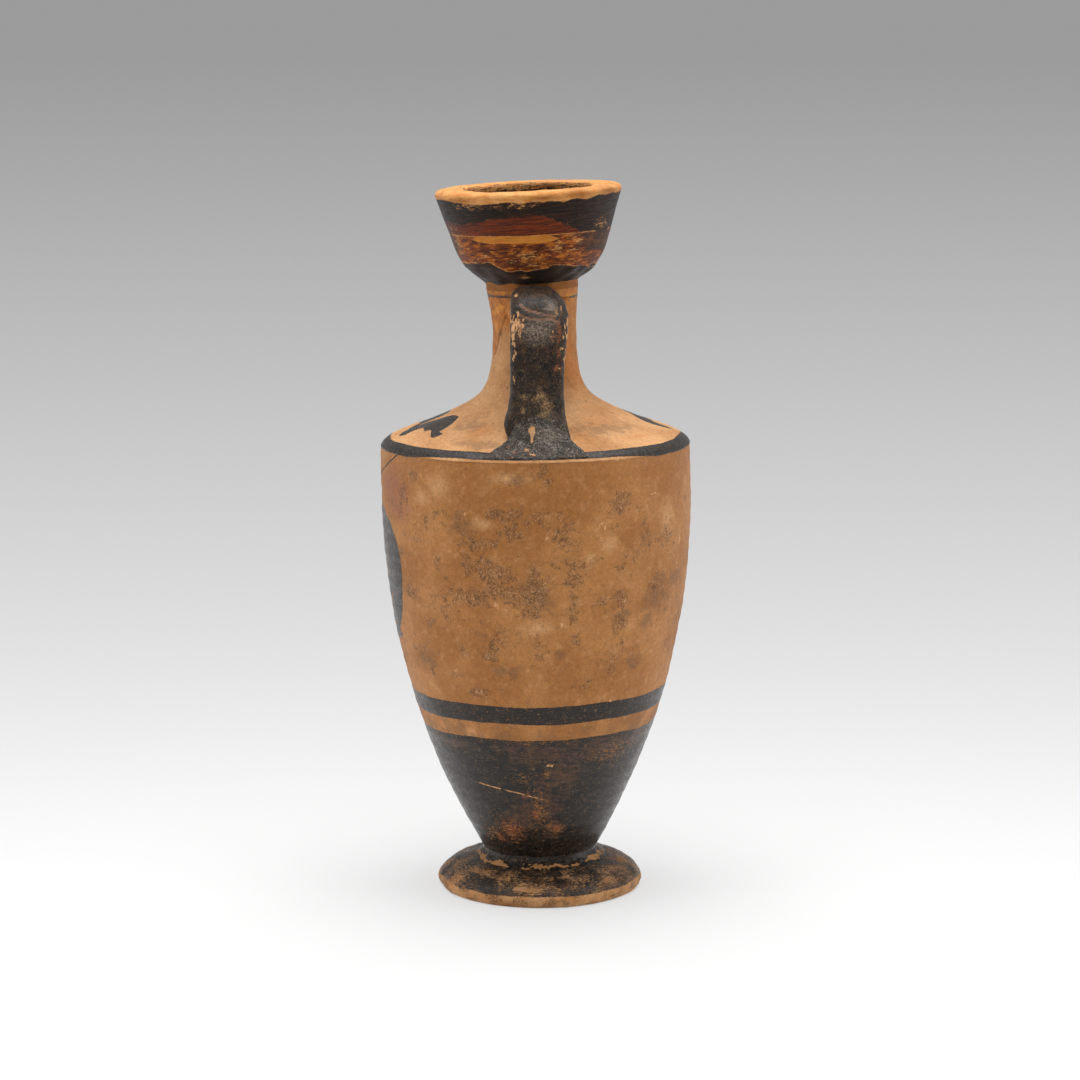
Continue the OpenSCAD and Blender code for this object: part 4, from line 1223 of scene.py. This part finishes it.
def mouth_paint(name):
    """The mouth's red-brown and black bands, worn to the ochre clay."""
    n = Nodes(name, slope=1.3)
    long = n.noise(0.5, 6, 0.78, along=6, seed=46)
    patch = n.noise(1.5, 5, 0.74, along=2.8, seed=41)
    flake = n.noise(0.55, 5, 0.8, along=1.5, seed=43, twist=0.6)
    fine = n.noise(0.28, 4, 0.8, seed=40)
    blend = long * 0.5 + patch * 0.5
    clay = n.mix(n.step(blend, 0.40, 0.60), LIP_CLAY, LIP_PALE)
    clay = n.lay(clay, LIP_BROWN, flake, 0.56, 0.72, 0.7)
    clay = n.lay(clay, SOILED_TONE, n.marked("soiled") + long * 1.6, 1.0, 2.2, 0.9)
    fray = (flake - 0.5) * 3.0 + (fine - 0.5) * 0.6
    # Between stripe and base the paint is thin: amber, brown and dark patches mixed
    amber = n.mix(n.step(blend, 0.42, 0.56), AMBER_DARK, AMBER_BROWN)
    amber = n.lay(amber, AMBER_BRIGHT, patch, 0.50, 0.62, 0.8)
    amber = n.lay(amber, AMBER_PALE, flake + patch * 0.3, 0.72, 0.82, 0.85)
    amber_on = n.step(n.marked("middle") + fray * 0.6, -0.05, 0.2)
    colour = n.mix(amber_on, clay, amber)
    red = n.mix(n.step(long, 0.40, 0.60), RED_DARK, RED_BROWN)
    red = n.lay(red, RED_PALE, flake, 0.66, 0.76, 0.5)
    red_on = n.step(n.marked("red") + fray * 0.35, -0.05, 0.15)
    colour = n.mix(red_on, colour, red)
    plum = n.mix(n.step(patch, 0.4, 0.6), PLUM_DARK, PLUM)
    colour = n.lay(colour, plum, n.marked("purple") + fray * 0.35, 0.35, 0.7,
                   n.highest(amber_on, red_on) * 0.85)
    stripe = n.mix(n.step(long, 0.4, 0.65), STRIPE_TONE, STRIPE_BROWN)
    colour = n.lay(colour, stripe, n.marked("stripe") + fray * 0.35, -0.05, 0.12, 0.9)
    dark = n.mix(n.step(long, 0.46, 0.66), BAND_BLACK, BAND_BROWN)
    dark = n.lay(dark, BAND_WORN, fine, 0.54, 0.72, 0.6)
    lost = n.step(n.marked("inside") * (n.marked("lip") * 0.22) + flake, 0.64, 0.70)
    dark_on = n.step(n.marked("dark") + fray * 0.45, -0.04, 0.12) * (1.0 - lost * 0.85)
    colour = n.mix(dark_on, colour, dark)
    # Scars down to the clay, small nicks and dark pits
    scar = n.marked("scar")
    scar = n.step(scar * 0.10 + flake, 0.62, 0.68) * n.step(scar, 0.05, 0.4)
    colour = n.mix(scar * 0.85, colour, SCAR_TONE)
    colour = n.lay(colour, NICK_TONE, n.noise(0.4, 2, 0.6, seed=47), 0.72, 0.78, 0.6)
    colour = n.lay(colour, PIT_TONE, n.noise(0.45, 2, 0.6, seed=49), 0.72, 0.78, 0.7)
    colour = n.shade(colour, fine, 0.40)
    covered = n.highest(red_on * 0.8, amber_on * 0.7, dark_on)
    rough = n.between(covered, 0.55, n.step(patch, 0.3, 0.7, 0.34, 0.52))
    relief = long * 1.6 + flake * 1.8 + covered * 0.8 + fine * 0.8
    return n.done(colour, rough, n.bump(relief, 0.07), 0.14)


clay_paint = painted_clay("fired_clay_paint")
for piece in (foot, foot_fillet, body, shoulder, neck, handle_pad):
    piece.coat(clay_paint)
strap_paint = painted_clay("black_gloss_paint", brushed=False, specular=0.26)
for piece in (handle, handle_apron):
    piece.coat(strap_paint)
mouth.coat(mouth_paint("mouth_gloss_paint"))


# Floor, light and camera

CAMERA_BACK = 0.6757
CAMERA_UP = 0.1911
CAMERA_DIP = math.radians(9.34)
LENS = 100.46
SENSOR = 36.0
FLOOR_R = 40.0
# The floor's tone on the screen: so much at the horizon, and more for each radian below it
FAR_TONE = 0.597
TONE_GAIN = 1.435
SCREEN_GAMMA = 2.2
# How bright the lit floor is near the object, against its own glow
FLOOR_GAIN = 0.67
WORLD_LIGHT = 0.30
LIGHTS_AIM = Vector((0, 0, 0.08))


def floor_material():
    """A white floor that greys with distance. To the camera most of its tone is its own
    light, and the rest takes the object's shadow."""
    n = Nodes("studio_floor")
    behind = n.highest(n.y, n.radius - 0.4)
    sight = n.calc("ARCTANGENT", n.calc("DIVIDE", CAMERA_UP, n.highest(behind + CAMERA_BACK, 0.3)))
    screen = n.calc("MINIMUM", sight * TONE_GAIN + FAR_TONE, 1.0)
    tone = n.calc("POWER", screen, SCREEN_GAMMA)
    share = n.step(n.radius, 0.40, 0.02, 0.0, 0.5)
    lit = n.add("ShaderNodeBsdfDiffuse", {"Color": n.grey(tone * share * FLOOR_GAIN)})
    glow = n.add("ShaderNodeEmission", {"Color": n.grey(tone * (1.0 - share))})
    seen = n.add("ShaderNodeAddShader", {0: lit, 1: glow})
    plain = n.add("ShaderNodeBsdfDiffuse", {"Color": (0.8, 0.8, 0.8)})
    path = n.add("ShaderNodeLightPath").socket.node
    direct = n.highest(*(Signal(n, path.outputs[f"Is {kind} Ray"])
                         for kind in ("Camera", "Glossy", "Transmission")))
    return n.finish(n.add("ShaderNodeMixShader", {0: direct, 1: plain, 2: seen}))


def make_floor():
    count = 96
    points = [(FLOOR_R * math.cos(t), FLOOR_R * math.sin(t), 0)
              for t in np.linspace(0, 2 * np.pi, count, endpoint=False)]
    mesh = bpy.data.meshes.new("studio_floor")
    mesh.from_pydata(points, [], [list(range(count))])
    floor = bpy.data.objects.new("studio_floor", mesh)
    bpy.context.collection.objects.link(floor)
    mesh.materials.append(floor_material())


def make_world():
    """Even light from all round, which the camera sees as the floor's far grey."""
    world = bpy.data.worlds.new("studio")
    world.use_nodes = True
    tree = world.node_tree
    tree.nodes.clear()
    light = tree.nodes.new("ShaderNodeBackground")
    light.inputs["Color"].default_value = (1, 1, 1, 1)
    light.inputs["Strength"].default_value = WORLD_LIGHT
    grey = (FAR_TONE + TONE_GAIN * math.atan(CAMERA_UP / (FLOOR_R + CAMERA_BACK))) ** SCREEN_GAMMA
    seen = tree.nodes.new("ShaderNodeBackground")
    seen.inputs["Color"].default_value = (grey, grey, grey, 1)
    path = tree.nodes.new("ShaderNodeLightPath")
    both = tree.nodes.new("ShaderNodeMixShader")
    out = tree.nodes.new("ShaderNodeOutputWorld")
    tree.links.new(path.outputs["Is Camera Ray"], both.inputs[0])
    tree.links.new(light.outputs[0], both.inputs[1])
    tree.links.new(seen.outputs[0], both.inputs[2])
    tree.links.new(both.outputs[0], out.inputs["Surface"])
    bpy.context.scene.world = world


def lamp(name, place, size, power):
    """A square soft light that faces the vessel's middle."""
    data = bpy.data.lights.new(name, "AREA")
    data.shape = "SQUARE"
    data.size = size
    data.energy = power
    made = bpy.data.objects.new(name, data)
    bpy.context.collection.objects.link(made)
    made.location = place
    made.rotation_euler = (LIGHTS_AIM - Vector(place)).to_track_quat("-Z", "Y").to_euler()


make_floor()
make_world()
lamp("light_above", (0.0, 0.05, 0.95), 0.8, 13.0)
lamp("light_left", (-0.85, 0.05, 0.35), 0.6, 1.7)
lamp("light_right", (0.85, 0.05, 0.35), 0.6, 1.9)
lamp("light_front", (-0.1, -1.3, 0.9), 0.7, 1.6)

camera_data = bpy.data.cameras.new("camera")
camera_data.lens = LENS
camera_data.sensor_width = SENSOR
camera = bpy.data.objects.new("camera", camera_data)
bpy.context.collection.objects.link(camera)
camera.location = (0, -CAMERA_BACK, CAMERA_UP)
camera.rotation_euler = (math.radians(90) - CAMERA_DIP, 0, 0)
bpy.context.scene.camera = camera
bpy.context.scene.view_settings.view_transform = "Standard"
